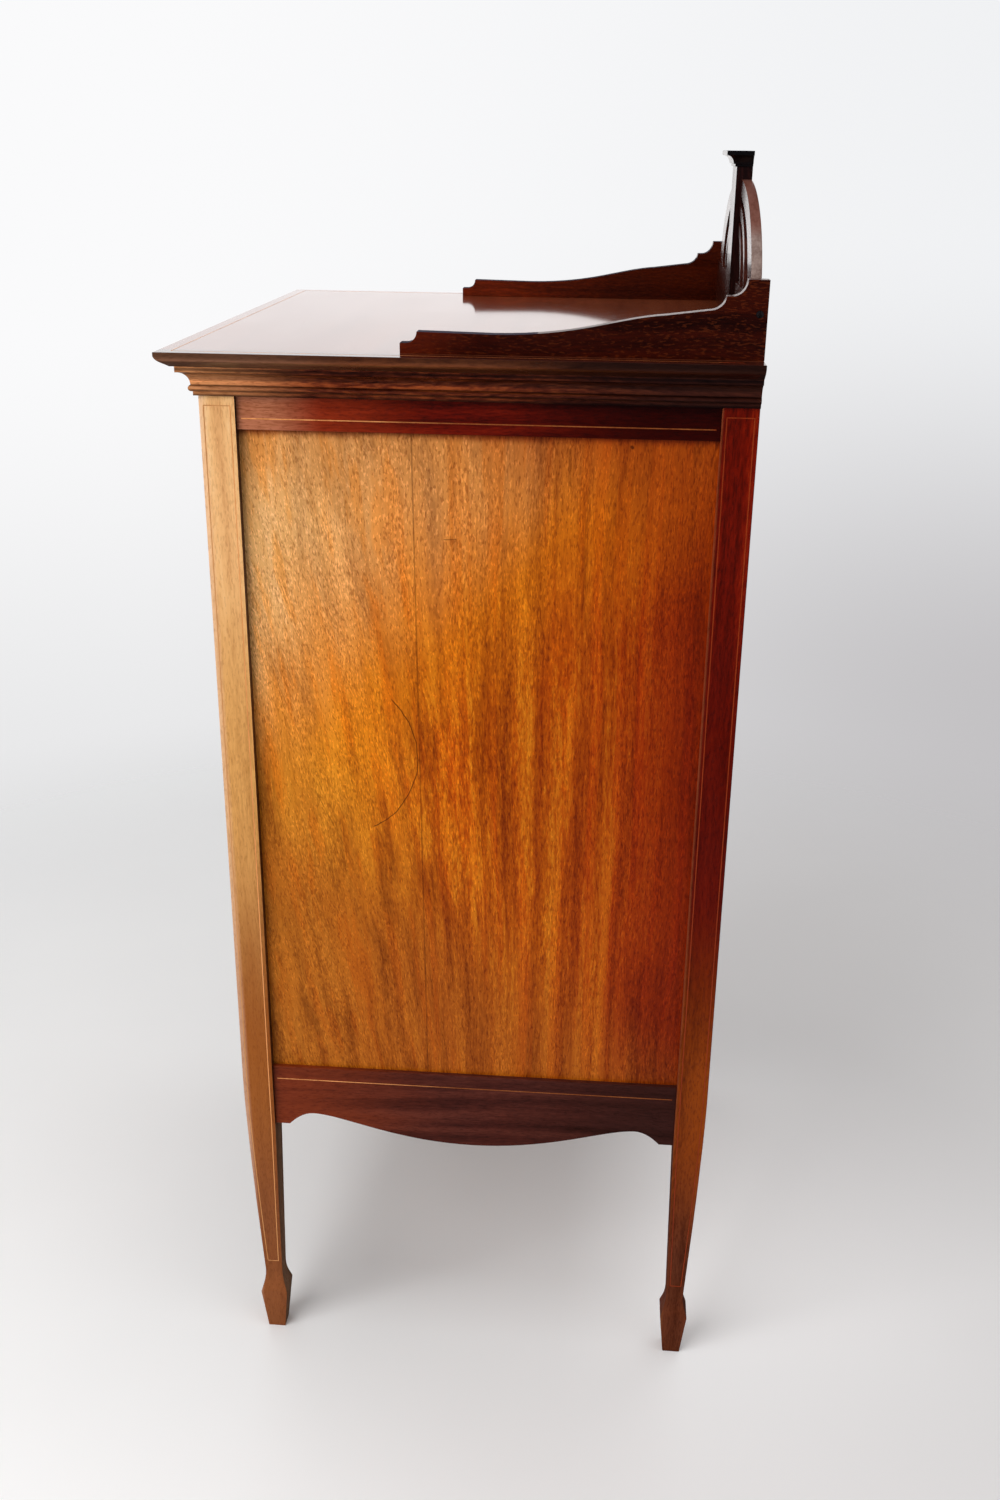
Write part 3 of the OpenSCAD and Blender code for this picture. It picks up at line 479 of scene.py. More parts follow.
@dataclass(frozen=True)
class Stroke:
    """A straight mark on a board that faces along X: a veneer's join, a scratch or a spot.

    Attributes:
        start: One end, from front to back and upwards.
        end: The other end.
        width: How wide it is.
        depth: How dark it is.
    """

    start: tuple[float, float]
    end: tuple[float, float]
    width: float
    depth: float

    def mark(self, at: Spot) -> Socket:
        """How dark the mark is at a place.

        Args:
            at: The tree and the place.

        Returns:
            The share of dark, from 0 to the mark's depth.
        """
        g = at.g
        run = [self.end[i] - self.start[i] for i in range(2)]
        square = run[0] ** 2 + run[1] ** 2
        off = [g.math("SUBTRACT", at.place[i + 1], self.start[i]) for i in range(2)]
        parts = [g.math("MULTIPLY", off[i], run[i] / square) for i in range(2)]
        along = g.math("ADD", g.math("ADD", parts[0], parts[1]), 0.0, True)
        left = [g.math("SUBTRACT", off[i], g.math("MULTIPLY", along, run[i])) for i in range(2)]
        squares = [g.math("MULTIPLY", part, part) for part in left]
        far = g.math("SQRT", g.math("ADD", squares[0], squares[1]))
        return g.span(far, self.width * 0.35, self.width, self.depth, 0.0)


@dataclass(frozen=True)
class WoodFinish:
    """A polished wood: its colours, grain, pores, dirt and polish.

    Attributes:
        name: The material's name.
        dark: The colour of the dark grain.
        middle: The colour between.
        light: The colour of the light grain.
        along: The axis that the grain runs along.
        seed: Moves the figure, so that boards differ.
        figure: How strong the figure is.
        pores: How dark the pores are.
        glints: How much the flecks between the pores show.
        fleck: The flecks' colour, where it isn't a lighter one of the wood's own.
        wave: How far the grain sways, in metres.
        lean: How far the grain leans low down, towards the front.
        tint: How strongly the wood is streaked.
        rough: How dull the wood is.
        shine: How strongly the wood mirrors.
        coat: How strongly the polish over it mirrors.
        coat_rough: How dull that polish is.
        bump: How deep the pores and ridges look.
        fades_and_painted_light: Slow changes of colour, each laid over the one before: partly the wood's own
            fading, partly painted light and shade.
        rim: The two corners of the box along whose edges the colour darkens.
        rim_width: How far the darkening reaches.
        rim_dark: How much of it shows.
        rim_colour: Its colour.
        flaws: Scratches and marks.
        moulding_shading: Heights on a moulding, in millimetres, and how light it is there: painted shade in
            its hollows and painted highlights on its bands.
    """

    name: str
    dark: Colour
    middle: Colour
    light: Colour
    along: Along
    seed: float = 0.0
    figure: float = 1.0
    pores: float = 0.5
    glints: float = 0.0
    fleck: Colour | None = None
    wave: float = 0.006
    lean: float = 0.0
    tint: float = 0.0
    rough: float = 0.4
    shine: float = 0.2
    coat: float = 0.25
    coat_rough: float = 0.12
    bump: float = 0.25
    fades_and_painted_light: tuple[FadeAndPaintedLight, ...] = ()
    rim: tuple[Place, Place] | None = None
    rim_width: float = 0.006
    rim_dark: float = 0.5
    rim_colour: Colour = (0.05, 0.018, 0.008)
    flaws: tuple[Scratch | Stroke, ...] = ()
    moulding_shading: tuple[tuple[float, float], ...] = ()

    def make(self) -> bpy.types.Material:
        """Builds the material.

        Returns:
            The material, on Object coordinates.
        """
        material = bpy.data.materials.new(self.name)
        material.use_nodes = True
        g = Graph(material.node_tree)
        at = self._spot(g)
        colour = self._colour(at)
        pores, glints, fine = self._pores(at)
        colour = g.mix(g.math("MULTIPLY", pores, self.pores), colour, PORE, "MULTIPLY")
        share = g.math("MULTIPLY", glints, self.glints)
        colour = g.mix(share, colour, self.fleck) if self.fleck else g.mix(share, colour, GLINT, "MULTIPLY")
        if self.moulding_shading:
            colour = g.mix(1.0, colour, self._moulding_shading(at), "MULTIPLY")
        if self.rim:
            colour = g.mix(self._rim(at), colour, self.rim_colour)
        deep = tuple(0.22 * part for part in self.dark)
        for flaw in self.flaws:
            colour = g.mix(flaw.mark(at), colour, deep)
        wear = g.noise(at.board, (17, 17, 9), 4.0, 0.6)
        worn = g.span(wear, 0.3, 0.75, self.rough * 0.8, self.rough * 1.25)
        rough = g.math("ADD", worn, g.math("MULTIPLY", pores, 0.15), True)
        height = g.math("SUBTRACT", g.math("MULTIPLY", fine, 0.35), pores)
        felt = {"Strength": self.bump, "Distance": PORE_DEPTH, "Height": height}
        bump = g.node("ShaderNodeBump", None, felt)
        shader = g.node("ShaderNodeBsdfPrincipled", None, {
            "Base Color": colour, "Roughness": rough, "Normal": bump.outputs[0],
            "Coat Weight": self.coat, "Coat Roughness": self.coat_rough, "Specular IOR Level": self.shine,
        })
        g.node("ShaderNodeOutputMaterial", None, {"Surface": shader.outputs[0]})
        return material

    def _spot(self, g: Graph) -> Spot:
        """Works out the place on the board and along its swaying grain.

        Args:
            g: The material's tree.

        Returns:
            The tree and the place.
        """
        place = g.parts(g.node("ShaderNodeTexCoord").outputs["Object"])
        a, b, c = self.along.value
        moved = self.seed * SEED_STEP
        board = g.join([g.math("ADD", place[a], moved), g.math("ADD", place[b], moved * SEED_SKEW), place[c]])
        sway = g.math("SUBTRACT", g.noise(board, (5, 5, 2.2), 2.0), 0.5)
        ripple = g.math("SUBTRACT", g.noise(board, (22, 22, 7), 2.0), 0.5)
        shift = g.math("ADD", g.math("MULTIPLY", sway, self.wave * 6), g.math("MULTIPLY", ripple, self.wave))
        if self.lean:
            slope = g.span(place[1], LEAN_FROM, LEAN_TO, 0.0, self.lean)
            shift = g.math("ADD", shift, g.math("MULTIPLY", slope, g.math("SUBTRACT", place[2], LEAN_LEVEL)))
        across = g.parts(board)
        grain = g.join([g.math("ADD", across[0], shift), g.math("ADD", across[1], shift), across[2]])
        return Spot(g, place, board, grain)

    def _colour(self, at: Spot) -> Socket:
        """The wood's colour, with its figure, its streaks, and its runs of colour, partly fading and partly
        painted light and shade.

        Args:
            at: The tree and the place.

        Returns:
            The colour.
        """
        g = at.g
        broad = g.noise(at.grain, (13, 13, 0.9), 2.0, 0.5)
        streak = g.noise(at.grain, (70, 70, 2.4), 3.0, 0.6)
        hair = g.noise(at.grain, (560, 560, 90), 2.0, 0.6)
        mottle = g.noise(at.board, (26, 26, 11), 3.0, 0.55)
        tone: Value = 0.5
        for layer, weight in ((broad, 0.45), (streak, 1.7), (hair, 0.95), (mottle, 0.25)):
            swing = g.math("MULTIPLY", g.math("SUBTRACT", layer, 0.5), weight * self.figure)
            tone = g.math("ADD", tone, swing)
        colour = g.ramp(tone, [(0.12, self.dark), (0.5, self.middle), (0.88, self.light)])
        if self.tint:
            colour = UNDER_FADES.over(at, colour, self.tint)
        drift = g.math("MULTIPLY", g.math("SUBTRACT", g.noise(at.grain, (46, 46, 1.8), 3.0), 0.5), 0.9)
        for fade_and_light in self.fades_and_painted_light:
            colour = fade_and_light.over(at, colour, tone, drift)
        return OVER_FADES.over(at, colour, self.tint) if self.tint else colour

    def _pores(self, at: Spot) -> tuple[Socket, Socket, Socket]:
        """The fine marks along the grain.

        Args:
            at: The tree and the place.

        Returns:
            The short dark pores, the light flecks between them, and the fine ridges.
        """
        g = at.g
        short = g.noise(at.grain, (900, 900, 215), 1.0, 0.4)
        other = g.noise(at.grain, (840, 870, 230), 1.0, 0.4)
        patch = g.noise(at.grain, (46, 46, 6), 2.0, 0.5)
        limit = g.span(patch, 0.3, 0.7, 0.04, -0.03)
        pores = g.span(g.math("SUBTRACT", short, limit), 0.55, 0.66)
        glints = g.span(g.math("ADD", other, limit), 0.45, 0.34)
        return pores, glints, g.noise(at.grain, (700, 700, 16), 2.0, 0.6)

    def _moulding_shading(self, at: Spot) -> Socket:
        """Painted shade in a moulding's hollows and painted highlights on its rounded bands, as they change
        the colour with height.

        Args:
            at: The tree and the place.

        Returns:
            What the colour is multiplied by, laid at half strength on the ramp and doubled after it.
        """
        g = at.g
        low, high = self.moulding_shading[0][0], self.moulding_shading[-1][0]
        share = g.math("DIVIDE", g.math("SUBTRACT", at.place[2], low * MM), (high - low) * MM, True)
        stops = [((z - low) / (high - low), (0.5 * tone,) * 3) for z, tone in self.moulding_shading]
        return g.mix(1.0, g.ramp(share, stops), (2.0, 2.0, 2.0), "MULTIPLY")

    def _rim(self, at: Spot) -> Socket:
        """Darker colour along the edges of a board.

        Args:
            at: The tree and the place.

        Returns:
            The share of dirt.
        """
        g = at.g
        low, high = self.rim
        near: list[Socket] = []
        for axis in range(3):
            from_low = g.math("SUBTRACT", at.place[axis], low[axis])
            from_high = g.math("SUBTRACT", high[axis], at.place[axis])
            near.append(g.math("MINIMUM", from_low, from_high))
        least = g.math("MINIMUM", g.math("MINIMUM", near[0], near[1]), near[2])
        most = g.math("MAXIMUM", g.math("MAXIMUM", near[0], near[1]), near[2])
        total = g.math("ADD", g.math("ADD", near[0], near[1]), near[2])
        edge = g.math("SUBTRACT", g.math("SUBTRACT", total, least), most)
        ragged = g.math("MULTIPLY", g.noise(at.board, (90, 90, 40), 3.0, 0.6), self.rim_width)
        reach = g.math("SUBTRACT", edge, g.math("SUBTRACT", ragged, self.rim_width * 0.5))
        return g.span(reach, 0.0, self.rim_width, self.rim_dark, 0.0)


@dataclass(frozen=True)
class MetalFinish:
    """Old metal: bright where it is rubbed, brown and dull where it isn't."""

    name: str
    bright: Colour
    dull: Colour
    rough: float = 0.32

    def make(self) -> bpy.types.Material:
        """Builds the material.

        Returns:
            The material, on Object coordinates.
        """
        material = bpy.data.materials.new(self.name)
        material.use_nodes = True
        g = Graph(material.node_tree)
        at = g.node("ShaderNodeTexCoord").outputs["Object"]
        tarnish = g.span(g.noise(at, (260, 260, 260), 4.0, 0.6), 0.38, 0.66)
        brush = g.noise(at, (2400, 2400, 260), 2.0, 0.5)
        colour = g.mix(tarnish, self.bright, self.dull)
        rough = g.math("ADD", g.span(tarnish, 0.0, 1.0, self.rough * 0.8, self.rough * 1.5),
                       g.math("MULTIPLY", brush, 0.12), True)
        bump = g.node("ShaderNodeBump", None, {"Strength": 0.3, "Distance": BRUSHED_DEPTH, "Height": brush})
        shader = g.node("ShaderNodeBsdfPrincipled", None, {
            "Base Color": colour, "Roughness": rough, "Metallic": 1.0, "Normal": bump.outputs[0],
        })
        g.node("ShaderNodeOutputMaterial", None, {"Surface": shader.outputs[0]})
        return material


def smooth_copy(node: str, edge: float) -> bpy.types.Object:
    """A copy of a CAD piece with its doubles merged and its sharp edges eased.

    Args:
        node: The CAD node that the copy stands for.
        edge: How wide the eased edges are, in metres.

    Returns:
        The new piece, riding on the node's body.
    """
    source = frame["nodes"][node]
    bm = bmesh.new()
    bm.from_mesh(source.data)
    bmesh.ops.remove_doubles(bm, verts=bm.verts, dist=SAME)
    bmesh.ops.dissolve_limit(bm, angle_limit=math.radians(FLAT), verts=bm.verts, edges=bm.edges)
    bmesh.ops.recalc_face_normals(bm, faces=bm.faces)
    mesh = bpy.data.meshes.new("eased_" + node)
    bm.to_mesh(mesh)
    bm.free()
    for name in ("custom_normal", "sharp_face", "sharp_edge"):
        if name in mesh.attributes:
            mesh.attributes.remove(mesh.attributes[name])
    mesh.materials.clear()
    mesh.shade_smooth()
    mesh.set_sharp_from_angle(angle=math.radians(SHARP))
    piece = bpy.data.objects.new("eased_" + node, mesh)
    bpy.context.scene.collection.objects.link(piece)
    bevel = piece.modifiers.new("eased edges", "BEVEL")
    bevel.width = edge
    bevel.segments = 2
    bevel.vmesh_method = "CUTOFF"  # a corner of another kind bulges past the CAD's box
    bevel.limit_method = "ANGLE"
    bevel.angle_limit = math.radians(SHARP)
    bevel.harden_normals = True
    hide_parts(node)
    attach(piece, source["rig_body"])
    return piece


def dress(node: str, finish: WoodFinish, edge: float = 0.5 * MM) -> bpy.types.Object:
    """Makes the eased copy of a wooden CAD piece and polishes it.

    Args:
        node: The CAD node.
        finish: Its wood.
        edge: How wide its eased edges are.

    Returns:
        The new piece.
    """
    piece = smooth_copy(node, edge)
    piece.data.materials.append(finish.make())
    log.info("%s dressed in %s", node, finish.name)
    return piece


def repaint(piece: bpy.types.Object, material: bpy.types.Material,
            wanted: Callable[[bpy.types.MeshPolygon], bool]) -> None:
    """Gives some faces of a piece a finish of their own.

    Args:
        piece: The piece.
        material: The finish.
        wanted: Whether a face gets it.
    """
    piece.data.materials.append(material)
    last = len(piece.data.materials) - 1
    for face in piece.data.polygons:
        if wanted(face):
            face.material_index = last


@dataclass
class Line:
    """An inlaid line: the points it runs through, and the way that its face looks."""

    points: list[Vector]
    face: Vector
    closed: bool = True


def near_corners(points: list[Vector], closed: bool, near: float = 1.2 * MM) -> list[Vector]:
    """Adds a point just before and just after each corner, so that a swept line keeps its width.

    Args:
        points: The corners.
        closed: Whether the last joins the first.
        near: How close the added points are.

    Returns:
        The corners and the added points.
    """
    made: list[Vector] = []
    count = len(points)
    for i, point in enumerate(points):
        if closed or i > 0:
            before = points[i - 1] - point
            if before.length > 3 * near:
                made.append(point + before.normalized() * near)
        made.append(point)
        if closed or i < count - 1:
            after = points[(i + 1) % count] - point
            if after.length > 3 * near:
                made.append(point + after.normalized() * near)
    return made


@dataclass
class InlayWork:
    """The light lines let into the wood, swept along their paths by one Geometry Nodes tree."""

    width: float = 0.8 * MM
    depth: float = 0.24 * MM
    proud: float = 0.05 * MM

    def tree(self, material: bpy.types.Material) -> bpy.types.NodeTree:
        """Builds the tree that sweeps a flat strip along each path.

        Args:
            material: The strips' wood.

        Returns:
            The tree, with Width and Depth as inputs.
        """
        tree = bpy.data.node_groups.new("inlaid line", "GeometryNodeTree")
        face = tree.interface
        face.new_socket("Paths", in_out="INPUT", socket_type="NodeSocketGeometry")
        for name in ("Width", "Depth"):
            face.new_socket(name, in_out="INPUT", socket_type="NodeSocketFloat")
        face.new_socket("Lines", in_out="OUTPUT", socket_type="NodeSocketGeometry")
        g = Graph(tree)
        entry = g.node("NodeGroupInput")
        curve = g.node("GeometryNodeMeshToCurve", None, {"Mesh": entry.outputs["Paths"]})
        way = g.node("GeometryNodeInputNamedAttribute", {"data_type": "FLOAT_VECTOR"}, {"Name": "face"})
        turned = g.node("GeometryNodeSetCurveNormal", {"mode": "FREE"},
                        {"Curve": curve.outputs[0], "Normal": way.outputs["Attribute"]})
        strip = g.node("GeometryNodeCurvePrimitiveQuadrilateral", {"mode": "RECTANGLE"},
                       {"Width": entry.outputs["Depth"], "Height": entry.outputs["Width"]})
        swept = g.node("GeometryNodeCurveToMesh", None,
                       {"Curve": turned.outputs[0], "Profile Curve": strip.outputs[0], "Fill Caps": True})
        flat = g.node("GeometryNodeSetShadeSmooth", None,
                      {"Geometry": swept.outputs[0], "Shade Smooth": False})
        real = g.node("GeometryNodeRealizeInstances", None, {"Geometry": flat.outputs[0]})
        coloured = g.node("GeometryNodeSetMaterial", None, {"Geometry": real.outputs[0]})
        coloured.inputs["Material"].default_value = material
        g.node("NodeGroupOutput", None, {"Lines": coloured.outputs[0]})
        return tree

    def lay(self, name: str, body: str, lines: list[Line], finish: WoodFinish) -> bpy.types.Object:
        """Sweeps the lines of one body into one piece.

        Args:
            name: The piece's name.
            body: The CAD body that it rides on.
            lines: Its lines.
            finish: Their wood.

        Returns:
            The new piece.
        """
        points: list[Vector] = []
        edges: list[tuple[int, int]] = []
        ways: list[float] = []
        for line in lines:
            first = len(points)
            path = near_corners(line.points, line.closed)
            points += [point + line.face * (self.proud - self.depth / 2) for point in path]
            ways += list(line.face) * len(path)
            edges += [(first + i, first + i + 1) for i in range(len(path) - 1)]
            if line.closed:
                edges.append((len(points) - 1, first))
        mesh = bpy.data.meshes.new(name + "_paths")
        mesh.from_pydata(points, edges, [])
        mesh.attributes.new("face", "FLOAT_VECTOR", "POINT").data.foreach_set("vector", ways)
        carrier = bpy.data.objects.new(name + "_paths", mesh)
        bpy.context.scene.collection.objects.link(carrier)
        modifier = carrier.modifiers.new("sweep", "NODES")
        modifier.node_group = self.tree(finish.make())
        entries = modifier.node_group.interface.items_tree
        sockets = {entry.name: entry.identifier for entry in entries if entry.in_out == "INPUT"}
        modifier[sockets["Width"]] = self.width
        modifier[sockets["Depth"]] = self.depth
        bpy.context.view_layer.update()
        seen = carrier.evaluated_get(bpy.context.evaluated_depsgraph_get())
        made = bpy.data.meshes.new_from_object(seen)
        bm = bmesh.new()
        bm.from_mesh(made)
        bmesh.ops.recalc_face_normals(bm, faces=bm.faces)
        bm.to_mesh(made)
        bm.free()
        carrier.modifiers.remove(modifier)
        bpy.data.objects.remove(carrier)
        piece = bpy.data.objects.new(name, made)
        bpy.context.scene.collection.objects.link(piece)
        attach(piece, body)
        log.info("%s laid", name)
        return piece


@dataclass
class Legs:
    """The four legs: square above, curving in to a narrow neck, on spade feet."""

    square: float = 27 * MM
    body_x: float = end_of("leg_front_right", End.RIGHT)
    front_y: float = end_of("leg_front_right", End.FRONT)
    back_y: float = end_of("leg_back_right", End.BACK)
    taper_top: float = 290 * MM
    neck: float = 68 * MM
    outer: float = 8 * MM
    inner: float = 3 * MM
    bend: float = 1.4  # over 1, the taper is slow at first
    apron_low: float = 242.5 * MM
    knots: int = 10  # the flats that the outer curve is made of
    inset: float = 3.4 * MM
    line_top: float = 889 * MM
    line_low: float = 80 * MM
    edge: float = 0.6 * MM
    # Painted shade and light on the legs' inner faces: shaded in the recess above, lit below it.
    shade_end: float = 246 * MM  # the inner faces are dark above this height
    light_start: float = 238 * MM  # and lit below this one
    squarely: float = 0.7  # how squarely a face looks one way before it gets that way's finish

    def build(self) -> None:
        """Makes the four legs and polishes them, the front pair honey brown and the back pair red: partly
        their own colours, partly painted light in front and painted shade behind.
        """
        for side in Side:
            self._front_leg(side.value)
            self._back_leg(side.value)

    def _front_leg(self, side: str) -> None:
        """A honey brown leg, browner in front, with a painted sheen along its front edge and painted shade on
        the face towards the back.

        Args:
            side: The side's name.
        """
        honey = WoodFinish(
            "leg_honey_" + side, paint(208, 146, 90), paint(240, 184, 122), paint(252, 208, 152), Along.Z,
            seed=3.1, figure=0.6, pores=0.3, rough=0.42,
            # The last fade is a painted sheen along the leg's front edge.
            fades_and_painted_light=(FadeAndPaintedLight(paint(218, 156, 82), UP, 0.8, 0.6, 0.85),
                   FadeAndPaintedLight(paint(148, 72, 4), UP, 0.56, 0.33, 0.9),
                   FadeAndPaintedLight(paint(138, 77, 39), UP, 0.3, 0.12, 0.9),
                   FadeAndPaintedLight(paint(240, 196, 164), DEEP, self.front_y + 7 * MM, self.front_y, 0.5)),
        )
        piece = dress("leg_front_" + side, honey, self.edge)
        # Painted shade on the face towards the back, in the recess beside the panel, with painted light low
        # down.
        shade = WoodFinish(
            "leg_inner_front_" + side, paint(40, 14, 6), paint(58, 20, 8), paint(80, 34, 16), Along.Z,
            seed=3.9, pores=0.3, fades_and_painted_light=(FadeAndPaintedLight(paint(128, 92, 66), UP, self.shade_end, self.light_start),),
        )
        repaint(piece, shade.make(), lambda face: face.normal.y > self.squarely)
        fore = WoodFinish("leg_fore_" + side, paint(120, 64, 32), paint(168, 100, 56), paint(196, 130, 80),
                          Along.Z, seed=4.4, pores=0.4, rough=0.36)
        repaint(piece, fore.make(), lambda face: face.normal.y < -self.squarely)

    def _back_leg(self, side: str) -> None:
        """A red leg, browner low down, with a painted highlight on its inner arris and painted light on the
        face towards the front.

        Args:
            side: The side's name.
        """
        inner = self.back_y - self.square
        red = WoodFinish(
            "leg_red_" + side, paint(80, 8, 0), paint(116, 16, 0), paint(150, 36, 4), Along.Z,
            seed=5.7, figure=1.1, pores=0.5, rough=0.38, shine=0.1,
            # The last fade is a painted highlight on the arris beside the panel.
            fades_and_painted_light=(FadeAndPaintedLight(paint(90, 10, 0), UP, 0.82, 0.6, 0.8), FadeAndPaintedLight(paint(144, 64, 4), UP, 0.5, 0.3, 0.8),
                   FadeAndPaintedLight(paint(97, 47, 27), UP, 0.26, 0.1, 0.9),
                   FadeAndPaintedLight(paint(140, 84, 50), DEEP, inner + 1.6 * MM, inner + 0.6 * MM, 0.35)),
        )
        piece = dress("leg_back_" + side, red, self.edge)
        # Painted light on the face towards the front, in the recess beside the panel.
        warm = WoodFinish(
            "leg_inner_back_" + side, paint(104, 42, 20), paint(140, 62, 34), paint(168, 84, 50), Along.Z,
            seed=5.9, pores=0.3, fades_and_painted_light=(FadeAndPaintedLight(paint(110, 58, 40), UP, self.shade_end, self.light_start),),
        )
        repaint(piece, warm.make(), lambda face: face.normal.y < -self.squarely)

    def outer_taper(self, z: float) -> float:
        """How far the outer faces have come in at a height, along the flats between the knots.

        Args:
            z: The height.

        Returns:
            The distance, in metres.
        """
        if z >= self.taper_top:
            return 0.0
        t = min(1.0, (self.taper_top - z) / (self.taper_top - self.neck)) * self.knots
        i = min(self.knots - 1, int(t))
        low, high = (self.outer * (k / self.knots) ** self.bend for k in (i, i + 1))
        return low + (high - low) * (t - i)

    def inner_taper(self, z: float) -> float:
        """How far the inner faces have come in at a height."""
        return self.inner * max(0.0, (self.apron_low - z) / (self.apron_low - self.neck))

    def heights(self) -> list[float]:
        """The heights where a line down a leg turns.

        Returns:
            The heights, from the top down.
        """
        knots = [self.taper_top + (self.neck - self.taper_top) * i / self.knots for i in range(self.knots)]
        turns = sorted([self.line_top, self.apron_low, self.line_low] + knots, reverse=True)
        return [z for z in turns if z >= self.line_low]

    def lines(self) -> list[Line]:
        """The bordered lines on the legs' side faces, and on the front faces of the front pair.

        Returns:
            Six closed lines.
        """
        made: list[Line] = []
        for x_sign in (1, -1):
            for front in (True, False):
                for on_side in (True, False) if front else (True,):
                    made.append(self._border(x_sign, front, on_side))
        return made

    def _border(self, x_sign: int, front: bool, on_side: bool) -> Line:
        """One leg's line.

        Args:
            x_sign: 1 on the right, -1 on the left.
            front: Whether it is a front leg.
            on_side: Whether the line is on the leg's side face, not on its front face.

        Returns:
            The closed line.
        """
        y_out, y_in = (self.front_y, 1) if front else (self.back_y, -1)
        down: list[Vector] = []
        up: list[Vector] = []
        for z in self.heights():
            out = self.outer_taper(z)
            near = out + self.inset
            far = self.square - self.inner_taper(z) - self.inset
            for across, points in ((near, down), (far, up)):
                if on_side:
                    points.append(Vector((x_sign * (self.body_x - out), y_out + y_in * across, z)))
                else:
                    points.append(Vector((x_sign * (self.body_x - across), y_out + y_in * out, z)))
        face = Vector((x_sign, 0, 0)) if on_side else Vector((0, -y_in, 0))
        return Line(down + up[::-1], face)


